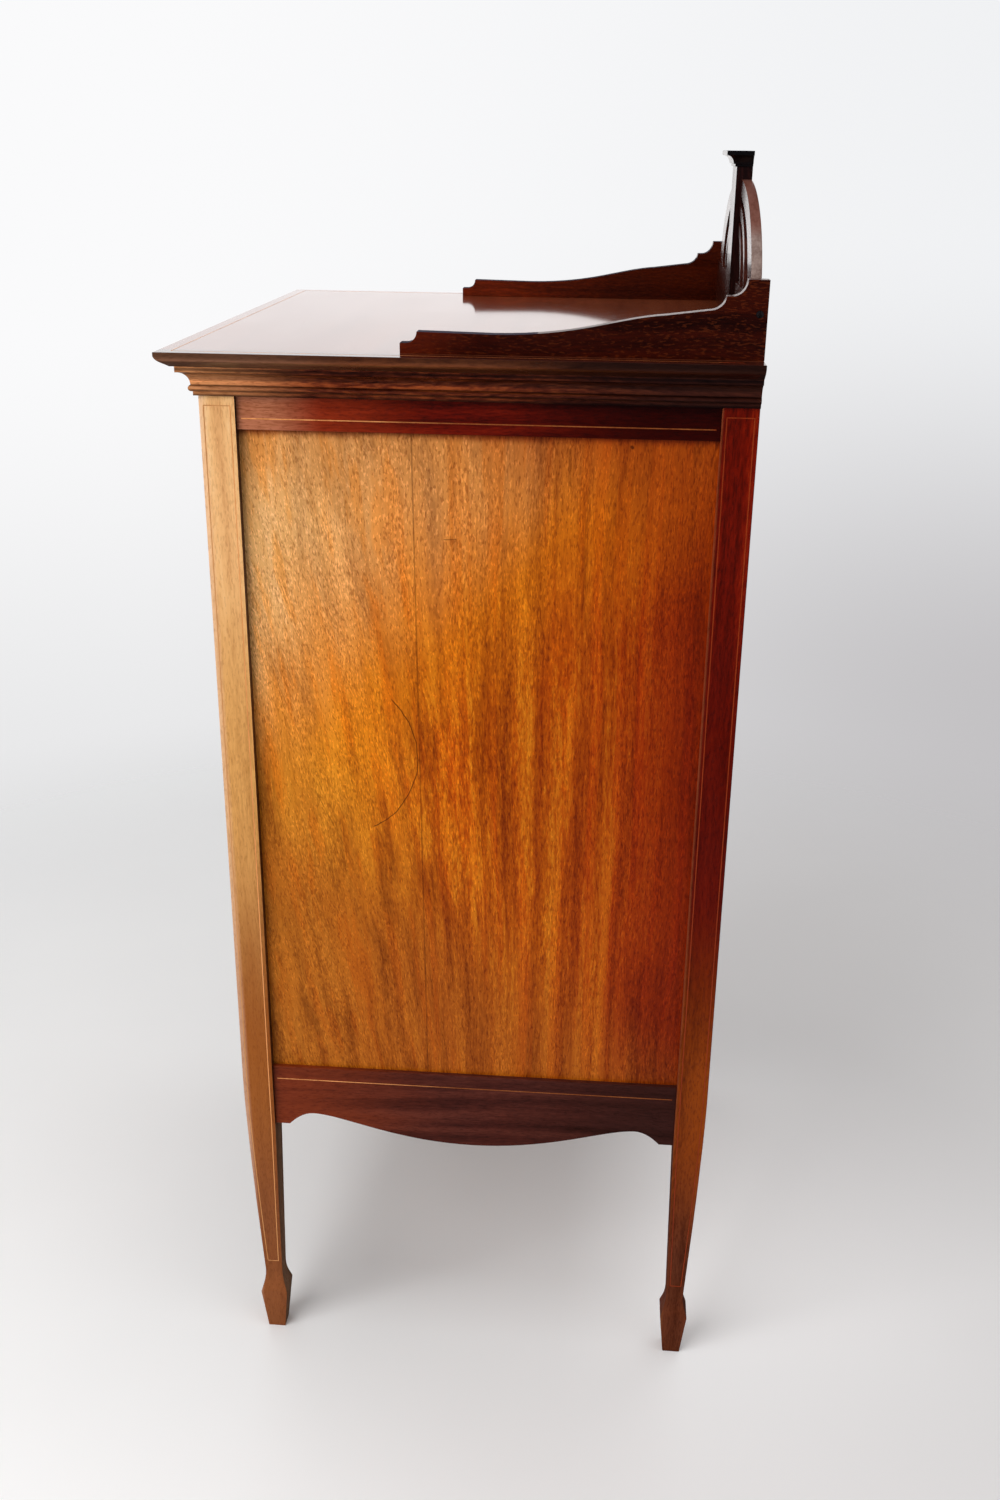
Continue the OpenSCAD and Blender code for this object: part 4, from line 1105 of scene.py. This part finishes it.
@dataclass
class Carcass:
    """Side panels, rails and aprons, the back, and the boards inside."""

    panel_low: float = end_of("side_apron_right", End.TOP)
    panel_high: float = end_of("side_top_rail_right", End.BOTTOM)
    rail_face: float = end_of("side_top_rail_right", End.RIGHT)
    front_face: float = end_of("front_top_rail", End.FRONT)
    inner_x: float = Legs.body_x - Legs.square
    inner_front: float = Legs.front_y + Legs.square
    inner_back: float = Legs.back_y - Legs.square
    line_end: float = 3.5 * MM
    rail_line: float = 879.3 * MM
    apron_line: float = 291 * MM
    shelves: int = 5

    def build(self) -> None:
        """Makes the sides, the front, the back and the inside."""
        for side in Side:
            self._panel(side.value)
            self._side_rails(side.value)
        fronts = (("front_top_rail", "front_rail_wood", 11.3), ("front_apron", "front_apron_wood", 12.9))
        for node, name, seed in fronts:
            wood = WoodFinish(name, paint(66, 24, 14), paint(112, 48, 30), paint(144, 72, 44), Along.X,
                              seed=seed, figure=0.9, rough=0.3, coat=0.5)
            dress(node, wood)
        self._back()
        self._inside()

    def _panel(self, side: str) -> None:
        """The golden panel of one side, with its veneer's joins, its scratches and its spots.

        Args:
            side: The side's name.
        """
        low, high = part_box("side_panel_" + side)
        panel = WoodFinish(
            "panel_gold_" + side, paint(136, 50, 0), paint(184, 84, 2), paint(220, 128, 20), Along.Z,
            seed=1.3, figure=1.15, pores=0.65, glints=0.6, wave=0.005, lean=0.15, tint=0.7, rough=0.45,
            shine=0.1, coat=0.1, coat_rough=0.2,
            # Partly the wood's own colour, partly painted light: lit and paler in front, a painted sheen high
            # in front, shaded and redder behind, and a painted shadow under the top rail.
            fades_and_painted_light=(
                FadeAndPaintedLight(paint(226, 142, 28), DEEP, 0.0, -0.14, 0.9, 0.8),
                FadeAndPaintedLight(paint(242, 166, 52), DEEP, -0.08, -0.15, 0.75, 0.5),
                FadeAndPaintedLight(paint(146, 38, 0), DEEP, 0.02, 0.19, 0.94),
                FadeAndPaintedLight(paint(112, 26, 0), DEEP, 0.13, 0.2, 0.6),
                FadeAndPaintedLight(paint(210, 114, 12), (0.0, -0.8, 1.0), 0.6, 0.77, 0.8, 0.8),
                FadeAndPaintedLight(paint(232, 178, 114), (0.0, -1.0, 0.35), 0.36, 0.44, 0.5, 0.5),
                FadeAndPaintedLight(paint(230, 178, 114), (0.0, -0.7, 0.7), 0.49, 0.67, 0.65, 0.45),
                FadeAndPaintedLight(paint(194, 112, 36), UP, 0.79, 0.87, 0.45),
                FadeAndPaintedLight(paint(154, 54, 0), (0.0, 0.8, 1.0), 0.84, 0.98, 0.8),
                FadeAndPaintedLight(paint(166, 84, 16), (0.0, -0.9, -1.0), -0.54, -0.36, 0.85),
                FadeAndPaintedLight(paint(118, 34, 4), UP, self.panel_high - 8 * MM, self.panel_high + 1 * MM, 0.9),
            ),
            rim=((low.x - FAR, low.y + RIM_IN, self.panel_low),
                 (high.x + FAR, high.y - RIM_IN, self.panel_high)),
            rim_width=0.003, rim_dark=0.35,
            flaws=(
                Scratch(-0.1065, 0.607, 0.072, 0.0006, -1.1, 0.8),
                Stroke((-0.0367, 0.869), (-0.0283, 0.306), 0.0008, 0.45),
                Stroke((-0.1204, 0.575), (-0.0912, 0.512), 0.0007, 0.3),
                Stroke((-0.012, 0.790), (-0.003, 0.7905), 0.0007, 0.5),
                Stroke((0.1285, 0.8646), (0.129, 0.8640), 0.0018, 0.8),
                Stroke((0.0826, 0.861), (0.0833, 0.835), 0.0016, 0.3),
            ),
        )
        dress("side_panel_" + side, panel, 0.3 * MM)

    def _side_rails(self, side: str) -> None:
        """The top rail and the apron of one side, pale in front and dark towards the back: partly their own
        colour, partly painted light in front and painted shade behind.

        Args:
            side: The side's name.
        """
        rail = WoodFinish(
            "side_rail_wood_" + side, paint(56, 5, 0), paint(92, 10, 0), paint(120, 22, 2), Along.Y,
            seed=8.2, figure=1.1, pores=0.5, rough=0.36, shine=0.12,
            fades_and_painted_light=(FadeAndPaintedLight(paint(138, 42, 14), DEEP, -0.01, -0.11, 0.95),
                   FadeAndPaintedLight(paint(188, 118, 84), DEEP, -0.1, -0.15, 0.85),
                   FadeAndPaintedLight(paint(38, 2, 0), DEEP, 0.0, 0.14, 0.92)),
        )
        dress("side_top_rail_" + side, rail, 0.4 * MM)
        apron = WoodFinish(
            "side_apron_wood_" + side, paint(50, 17, 12), paint(76, 30, 22), paint(98, 44, 32), Along.Y,
            seed=9.6, figure=0.9, pores=0.5, rough=0.38,
            fades_and_painted_light=(FadeAndPaintedLight(paint(124, 47, 16), DEEP, 0.0, -0.155, 0.95),
                   FadeAndPaintedLight(paint(54, 23, 18), DEEP, 0.02, 0.18, 0.9)),
        )
        dress("side_apron_" + side, apron)

    def _back(self) -> None:
        """The back's upright boards and its two rails, unpolished."""
        upright = WoodFinish("back_wood", paint(92, 50, 28), paint(140, 84, 50), paint(168, 110, 70),
                             Along.Z, seed=21.0, rough=0.6, coat=0.0, bump=0.5)
        level = WoodFinish("back_rail_wood", paint(84, 44, 24), paint(126, 72, 42), paint(150, 94, 58),
                           Along.X, seed=23.0, rough=0.6, coat=0.0, bump=0.5)
        woods = {"back_board_right": upright, "back_board_middle": upright, "back_board_left": upright,
                 "back_top_rail": level, "back_bottom_rail": level}
        for name, wood in woods.items():
            dress(name, wood, 0.8 * MM)

    def _inside(self) -> None:
        """The boards and bearers inside, of plain wood, and the polished door stop."""
        flat = WoodFinish("shelf_wood", paint(108, 66, 36), paint(156, 104, 62), paint(184, 132, 84),
                          Along.X, seed=31.0, pores=0.4, rough=0.55, coat=0.0, bump=0.4)
        for name in ["bottom_board"] + [f"shelf_{i + 1}" for i in range(self.shelves)]:
            dress(name, flat, 0.6 * MM)
        runner = WoodFinish("bearer_wood", paint(104, 62, 34), paint(150, 100, 60), paint(178, 126, 80),
                            Along.Y, seed=33.0, pores=0.4, rough=0.6, coat=0.0, bump=0.4)
        for name in ("shelf_bearers_right", "shelf_bearers_left", "bottom_cleats", "glue_blocks"):
            dress(name, runner)
        stop = WoodFinish("stop_wood", paint(66, 28, 16), paint(108, 52, 32), paint(134, 74, 46), Along.Z,
                          seed=35.0, pores=0.4, rough=0.45, coat=0.2)
        dress("door_stop", stop)

    def lines(self) -> list[Line]:
        """The straight lines on the rails and aprons, on both sides and the front.

        Returns:
            Open lines.
        """
        made: list[Line] = []
        front, back = self.inner_front + self.line_end, self.inner_back - self.line_end
        end, y = self.inner_x - self.line_end, self.front_face
        for z in (self.rail_line, self.apron_line):
            for x_sign in (1, -1):
                x = x_sign * self.rail_face
                ends = [Vector((x, front, z)), Vector((x, back, z))]
                made.append(Line(ends, Vector((x_sign, 0, 0)), False))
            made.append(Line([Vector((-end, y, z)), Vector((end, y, z))], Vector((0, -1, 0)), False))
        return made


@dataclass
class Top:
    """The polished top board and the cornice under it."""

    surface: float = end_of("top_board", End.TOP)
    half_x: float = end_of("top_board", End.RIGHT)
    half_y: float = end_of("top_board", End.BACK)
    line_in: float = 11 * MM
    line_back: float = 15 * MM
    flat: float = 0.9  # how squarely a face looks up or down before it is no edge
    # Painted shade and highlights on the top's edge and on the cornice, by height: darker in the hollows,
    # lighter on the rounded bands.
    edge_shading: tuple[tuple[float, float], ...] = (
        (919.0, 0.8), (921.5, 0.85), (923.0, 1.0), (924.4, 2.1), (925.6, 1.5), (926.8, 0.95), (928.0, 0.8),
        (930.0, 0.8),
    )
    cornice_shading: tuple[tuple[float, float], ...] = (
        (896.5, 0.2), (897.3, 0.4), (898.8, 1.35), (899.8, 1.1), (900.6, 0.3), (901.9, 1.3), (903.2, 1.1),
        (904.2, 0.3), (905.4, 1.7), (907.2, 2.0), (909.2, 1.0), (911.6, 1.0), (913.2, 0.7), (914.2, 0.25),
        (915.1, 1.3), (916.2, 0.5), (917.4, 0.5), (918.2, 1.9), (919.0, 1.5),
    )

    def build(self) -> None:
        """Makes the top board and the three lengths of cornice."""
        board = WoodFinish(
            "top_wood", paint(84, 36, 18), paint(112, 54, 31), paint(130, 68, 40), Along.X,
            seed=13.0, figure=0.5, pores=0.2, rough=0.5, shine=0.1, coat=1.0, coat_rough=0.075, bump=0.03,
            fades_and_painted_light=(FadeAndPaintedLight(paint(52, 20, 12), ACROSS, self.half_x - 21 * MM, self.half_x - 17 * MM),),
        )
        # The edge is paler in front and darker behind: partly its own colour, partly painted light and shade.
        edge = WoodFinish(
            "top_edge_wood", paint(40, 15, 7), paint(69, 32, 15), paint(96, 50, 26), Along.Y,
            seed=13.4, figure=0.9, pores=0.4, rough=0.32, coat=0.4, moulding_shading=self.edge_shading,
            fades_and_painted_light=(FadeAndPaintedLight(paint(100, 66, 46), DEEP, -0.05, -0.17, 0.9),
                   FadeAndPaintedLight(paint(34, 13, 8), DEEP, 0.0, 0.15, 0.9)),
        )
        piece = dress("top_board", board)
        repaint(piece, edge.make(), lambda face: abs(face.normal.z) < self.flat)
        for name, along in (("front", Along.X), ("right", Along.Y), ("left", Along.Y)):
            # The side cornices are paler in front and darker behind: partly their own colour, partly painted
            # light and shade.
            fades_and_painted_light = (FadeAndPaintedLight(paint(188, 124, 76), DEEP, -0.1, -0.215, 0.9),
                     FadeAndPaintedLight(paint(42, 16, 10), DEEP, 0.0, 0.17, 0.92))
            wood = WoodFinish(
                "cornice_wood_" + name, paint(44, 10, 2), paint(80, 28, 10), paint(126, 58, 24), along,
                seed=14.0, figure=1.5, pores=0.5, rough=0.32, coat=0.4, moulding_shading=self.cornice_shading,
                fades_and_painted_light=fades_and_painted_light if along is Along.Y else (),
            )
            dress("cornice_" + name, wood, 0.3 * MM)

    def lines(self) -> list[Line]:
        """The line round the top's border, open towards the gallery's back rail.

        Returns:
            One open line.
        """
        x, front, back = self.half_x - self.line_in, self.line_in - self.half_y, self.half_y - self.line_back
        turns = [Vector((-x, back, self.surface)), Vector((-x, front, self.surface)),
                 Vector((x, front, self.surface)), Vector((x, back, self.surface))]
        return [Line(turns, Vector((0, 0, 1)), False)]


@dataclass
class Gallery:
    """The low gallery: swept side rails, pierced arch, curved bars, post and cap."""

    steep: float = 0.35  # how much a face looks up before it is an upper edge
    swept_from: float = 60 * MM  # where the near rail's upper edge begins to shine
    edge: float = 0.4 * MM

    def build(self) -> None:
        """Makes the wooden parts of the gallery."""
        # Dull polish with a painted dark reflection: the upper faces of the rails, in front, and of the cap
        # are dark blue-grey, mirroring dark surroundings above.
        dull = WoodFinish("dull_painted_reflection_edge", paint(30, 26, 36), paint(44, 40, 54), paint(58, 52, 66), Along.Y,
                          seed=60.0, pores=0.2, rough=0.6, coat=0.0).make()
        # Painted highlight: the arch's upper faces are pale pinkish grey, as where light catches them,
        # browner high up.
        painted_highlight = WoodFinish("painted_highlight_edge", paint(80, 54, 46), paint(118, 96, 88), paint(146, 126, 118),
                           Along.X, seed=61.0, figure=0.8, pores=0.2, rough=0.5,
                           fades_and_painted_light=(FadeAndPaintedLight(paint(100, 50, 36), UP, 1.006, 1.02, 0.8),)).make()
        # Warmer at the front end and darker at the back end: partly the rails' own colour, partly painted
        # light and shade.
        warm_end = FadeAndPaintedLight(paint(80, 20, 2), DEEP, 0.02, -0.035, 0.85)
        dark_end = FadeAndPaintedLight(paint(46, 9, 1), DEEP, -0.02, 0.14, 0.85)
        rails = {Side.RIGHT: (self._rail("right", paint(43, 6, 0), 15.0, 0.26, warm_end), self.swept_from),
                 Side.LEFT: (self._rail("left", paint(88, 24, 3), 16.4, 0.1, dark_end), FAR)}
        for side, (rail, painted_reflection_to) in rails.items():
            piece = dress("gallery_rail_" + side.value, rail, 0.25 * MM)
            repaint(piece, dull, lambda face: face.normal.z > self.steep and face.center.y < painted_reflection_to)
            arch = self._fret("arch_" + side.value, 17.0)
            piece = dress("gallery_arch_" + side.value, arch, self.edge)
            repaint(piece, painted_highlight, lambda face: face.normal.z > self.steep)
            bars = self._fret("bars_" + side.value, 18.0)
            dress("gallery_bars_" + side.value, bars, self.edge)
        dress("gallery_back_rail", self._fret("back_rail", 19.0), self.edge)
        post = WoodFinish("post_wood", paint(16, 6, 4), paint(29, 10, 8), paint(50, 20, 16), Along.Z,
                          seed=20.0, pores=0.4, rough=0.3, coat=0.5)
        dress("gallery_post", post, self.edge)
        cap = WoodFinish("cap_wood", paint(9, 7, 8), paint(16, 12, 13), paint(26, 19, 19), Along.X,
                         seed=20.5, pores=0.4, rough=0.3, coat=0.5)
        piece = dress("gallery_cap", cap, 0.3 * MM)
        repaint(piece, dull, lambda face: face.normal.z > self.steep)

    def _rail(self, side: str, middle: Colour, seed: float, glints: float, fade_and_light: FadeAndPaintedLight) -> WoodFinish:
        """The dark, flecked wood of a side rail.

        Args:
            side: The side's name.
            middle: The wood's middle colour.
            seed: Moves the figure.
            glints: How much the flecks show.
            fade_and_light: Its change of colour from end to end, partly painted light and shade.

        Returns:
            The finish.
        """
        dark, light = (tuple(times * part for part in middle) for times in (0.5, 1.7))
        return WoodFinish("gallery_rail_wood_" + side, dark, middle, light, Along.Y, seed=seed, figure=1.3,
                          glints=glints, fleck=paint(120, 50, 14), rough=0.34, fades_and_painted_light=(fade_and_light,))

    def _fret(self, name: str, seed: float) -> WoodFinish:
        """The dark wood of the gallery's back."""
        return WoodFinish("gallery_wood_" + name, paint(30, 10, 7), paint(52, 20, 14), paint(76, 36, 26),
                          Along.X, seed=seed, pores=0.45, rough=0.3, coat=0.5)


@dataclass
class Door:
    """The framed door, with its lock, key and hinges."""

    half_x: float = end_of("door_stile_hinge", End.RIGHT)
    low: float = end_of("door_stile_hinge", End.BOTTOM)
    high: float = end_of("door_stile_hinge", End.TOP)
    face: float = end_of("door_stile_hinge", End.FRONT)
    line_in: float = 6 * MM

    def build(self) -> None:
        """Makes the door's wooden parts and gives the metal its finish."""
        upright = WoodFinish("door_stile_wood", paint(74, 30, 16), paint(126, 60, 34), paint(156, 86, 52),
                             Along.Z, seed=41.0, rough=0.3, coat=0.5)
        level = WoodFinish("door_rail_wood", paint(74, 30, 16), paint(122, 58, 33), paint(152, 84, 50),
                           Along.X, seed=42.0, rough=0.3, coat=0.5)
        woods = {"door_stile_hinge": upright, "door_stile_lock": upright, "door_rail_top": level,
                 "door_rail_bottom": level}
        for name, wood in woods.items():
            dress(name, wood, 0.6 * MM)
        low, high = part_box("door_panel")
        panel = WoodFinish(
            "door_panel_gold", paint(142, 78, 30), paint(196, 124, 58), paint(224, 160, 90), Along.Z,
            seed=43.7, figure=1.1, pores=0.7, wave=0.009, rough=0.34, coat=0.4, coat_rough=0.18,
            fades_and_painted_light=(FadeAndPaintedLight(paint(170, 92, 36), UP, 0.5, 0.34, 0.5),),
            rim=((low.x + RIM_IN, -FAR, low.z + RIM_IN), (high.x - RIM_IN, FAR, high.z - RIM_IN)),
            rim_width=0.012,
        )
        dress("door_panel", panel, 0.3 * MM)
        bead = WoodFinish("bead_wood", paint(50, 20, 12), paint(88, 40, 24), paint(120, 66, 40), Along.Z,
                          seed=44.0, pores=0.4, rough=0.26, coat=0.6)
        dress("door_beads", bead, 0.3 * MM)
        self._metal()

    def _metal(self) -> None:
        """Gives the CAD's metal pieces their brass or steel."""
        brass = MetalFinish("aged_brass", paint(214, 172, 92), paint(128, 92, 44)).make()
        steel = MetalFinish("dull_steel", paint(150, 138, 130), paint(64, 44, 38), 0.5).make()
        leaves = tuple(f"hinge_leaf_{on}_{at}" for on in ("leg", "door") for at in ("upper", "lower"))
        fittings = ("hinge_pins", "hinge_leg_screws", "hinge_door_screws", "strike_plate", "lock_bolt",
                    "escutcheon", "key", "lock_case")
        for name in leaves + fittings:
            self._set(name, brass)
        self._set("gallery_screws", steel)

    def _set(self, name: str, material: bpy.types.Material) -> None:
        """Puts a material on every slot of a CAD piece.

        Args:
            name: The CAD node.
            material: The metal.
        """
        for slot in frame["nodes"][name].material_slots:
            slot.material = material
        log.info("%s dressed in %s", name, material.name)

    def lines(self) -> list[Line]:
        """The line round the door's frame.

        Returns:
            One closed line.
        """
        x, low, high = self.half_x - self.line_in, self.low + self.line_in, self.high - self.line_in
        ring = [Vector((-x, self.face, low)), Vector((x, self.face, low)),
                Vector((x, self.face, high)), Vector((-x, self.face, high))]
        return [Line(ring, Vector((0, -1, 0)))]


@dataclass(frozen=True)
class Lamp:
    """A soft square box of light that looks from one place to another."""

    name: str
    at: Place
    to: Place
    size: float
    power: float

    def build(self) -> None:
        """Makes the lamp, unseen in the polish."""
        data = bpy.data.lights.new(self.name, "AREA")
        data.shape = "RECTANGLE"
        data.size = data.size_y = self.size
        data.energy = self.power
        lamp = bpy.data.objects.new(self.name, data)
        lamp.visible_glossy = False
        lamp.location = self.at
        lamp.rotation_euler = (Vector(self.to) - Vector(self.at)).to_track_quat("-Z", "Y").to_euler()
        bpy.context.scene.collection.objects.link(lamp)


@dataclass
class Studio:
    """The pale floor, the pale surroundings, the soft lamps and the camera.

    The surroundings are painted by the way that one looks: the front's colours lie to the left in the
    photograph's view and the back's to the right, each from high up to low down.
    """

    floor_size: float = 6.0
    # The floor is painted paler in front and greyer behind: painted light that evens out the lamps.
    floor_front: Colour = paint(249, 249, 249)
    floor_back: Colour = paint(240, 238, 238)
    floor_ends: tuple[float, float] = (0.7, 1.6)  # how far out the floor begins to go, and is gone
    core_at: Place = (0.02, 0.22, 0.0)  # the middle of the shadow, which is lightened for the eye only
    core_near: float = 0.05
    core_reach: float = 0.42
    core_light: float = 0.15
    front_high: Colour = paint(250, 250, 251)
    front_low: Colour = paint(231, 231, 232)
    back_high: Colour = paint(240, 241, 243)
    back_low: Colour = paint(195, 193, 195)
    mirrored_dim: Colour = (0.04, 0.042, 0.055)
    mirrored_front: Colour = (1.28, 1.25, 1.25)
    mirrored_back: Colour = (1.0, 0.96, 0.95)
    soft_light: float = 0.28
    lamps: tuple[Lamp, ...] = (
        Lamp("window", (1.5, -1.15, 1.45), (0.2, 0.0, 0.6), 1.6, 31),
        Lamp("ceiling", (0.0, 0.1, 2.8), (0.0, 0.0, 0.5), 2.6, 42),
    )
    sensor: float = 36.0
    lens: float = 35.392
    camera_at: Place = (1.3251676, 0.1145376, 1.0703655)
    yaw: float = -0.0739
    pitch: float = 0.3887
    roll: float = 0.0117

    def build(self) -> None:
        """Makes the floor, the world, the lamps and the camera."""
        self._floor()
        self._world()
        for lamp in self.lamps:
            lamp.build()
        self._camera()

    def _floor(self) -> None:
        """A pale floor that goes over into the surroundings away from the cabinet."""
        half = self.floor_size / 2
        mesh = bpy.data.meshes.new("floor")
        ring = [(-half, -half, 0), (half, -half, 0), (half, half, 0), (-half, half, 0)]
        mesh.from_pydata(ring, [], [(0, 1, 2, 3)])
        floor = bpy.data.objects.new("floor", mesh)
        bpy.context.scene.collection.objects.link(floor)
        material = bpy.data.materials.new("pale_floor")
        material.use_nodes = True
        g = Graph(material.node_tree)
        place = g.node("ShaderNodeTexCoord").outputs["Object"]
        rays = g.node("ShaderNodeLightPath").outputs
        faint = g.ramp(g.noise(place, (2.5, 2.5, 2.5), 3.0, 0.5), [(0.3, (0.97,) * 3), (0.7, WHITE)])
        plain = g.mix(g.span(g.parts(place)[1], -0.3, 0.45), self.floor_front, self.floor_back)
        out = g.measure("DISTANCE", place, self.core_at)
        core = g.span(out, self.core_reach, self.core_near, 0.0, self.core_light)
        shader = g.node("ShaderNodeBsdfPrincipled", None, {
            "Base Color": g.mix(1.0, plain, faint, "MULTIPLY"), "Roughness": 0.6,
            "Emission Color": (1.0, 0.99, 1.0),
            "Emission Strength": g.math("MULTIPLY", rays["Is Camera Ray"], core),
        })
        dim = g.node("ShaderNodeBsdfDiffuse", None, {"Color": (0.03, 0.03, 0.033)})
        seen = g.either(rays["Is Glossy Ray"], shader, dim)
        gone = g.span(g.measure("DISTANCE", place, (0.0, 0.0, 0.0)), *self.floor_ends)
        both = g.either(gone, seen, g.node("ShaderNodeBsdfTransparent"))
        g.node("ShaderNodeOutputMaterial", None, {"Surface": both.outputs[0]})
        mesh.materials.append(material)

    def _world(self) -> None:
        """Pale surroundings to look at, and dim ones to mirror, bright only low down behind the far side."""
        world = bpy.data.worlds.new("pale_studio")
        bpy.context.scene.world = world
        world.use_nodes = True
        g = Graph(world.node_tree)
        x, y, z = g.parts(g.node("ShaderNodeTexCoord").outputs["Generated"])
        front = g.mix(g.span(z, -0.1, -0.42), self.front_high, self.front_low)
        back = g.mix(g.span(z, -0.04, -0.33), self.back_high, self.back_low)
        low = g.math("MULTIPLY", g.span(x, -0.2, -0.6), g.span(z, 0.34, 0.14))
        bright = g.mix(g.span(y, -0.1, 0.25), self.mirrored_front, self.mirrored_back)
        rays = g.node("ShaderNodeLightPath").outputs
        pale = g.node("ShaderNodeBackground", None, {"Color": g.mix(g.span(y, -0.32, 0.3), front, back)})
        dim = g.node("ShaderNodeBackground", None, {"Color": g.mix(low, self.mirrored_dim, bright)})
        soft = g.node("ShaderNodeBackground", None, {"Color": WHITE, "Strength": self.soft_light})
        looked = g.math("MAXIMUM", rays["Is Camera Ray"], rays["Is Transmission Ray"])
        both = g.either(looked, g.either(rays["Is Glossy Ray"], soft, dim), pale)
        g.node("ShaderNodeOutputWorld", None, {"Surface": both.outputs[0]})

    def _camera(self) -> None:
        """The camera of the photograph's view, on the cabinet's right side."""
        data = bpy.data.cameras.new("camera")
        data.sensor_width = self.sensor
        data.lens = self.lens
        camera = bpy.data.objects.new("camera", data)
        ahead = Vector((-math.cos(self.pitch) * math.cos(self.yaw), math.cos(self.pitch) * math.sin(self.yaw),
                        -math.sin(self.pitch)))
        right = ahead.cross(Vector(UP)).normalized()
        up = right.cross(ahead)
        turn, lift = math.cos(self.roll), math.sin(self.roll)
        turned = Matrix((turn * right + lift * up, turn * up - lift * right, -ahead)).transposed().to_4x4()
        turned.translation = Vector(self.camera_at)
        camera.matrix_world = turned
        bpy.context.scene.collection.objects.link(camera)
        bpy.context.scene.camera = camera


def main() -> None:
    """Builds the cabinet's pieces in order, then the studio."""
    logging.basicConfig(level=logging.INFO, format="%(name)s: %(message)s")
    bpy.context.scene.view_settings.view_transform = "Standard"
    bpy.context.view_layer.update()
    legs, carcass, top, gallery, door = Legs(), Carcass(), Top(), Gallery(), Door()
    for part in (legs, carcass, top, gallery, door):
        part.build()
        log.info("%s built", type(part).__name__)
    boxwood = WoodFinish(
        "line_boxwood", paint(110, 48, 18), paint(146, 76, 32), paint(168, 98, 48), Along.Z,
        seed=50.0, figure=0.6, pores=0.1,
        # Paler in front and darker behind, like the woods around the lines: partly painted light and shade.
        fades_and_painted_light=(FadeAndPaintedLight(paint(240, 160, 96), DEEP, 0.02, -0.13, 0.95),
               FadeAndPaintedLight(paint(206, 142, 86), DEEP, -0.17, -0.175, 0.95),
               FadeAndPaintedLight(paint(150, 46, 6), DEEP, 0.185, 0.192, 0.85)),
    )
    work = InlayWork()
    work.lay("inlay_lines_case", "case", legs.lines() + carcass.lines() + top.lines(), boxwood)
    work.lay("inlay_lines_door", "door", door.lines(), boxwood)
    log.info("%s built", type(work).__name__)
    Studio().build()
    log.info("%s built", Studio.__name__)


if __name__ == "__main__":
    main()
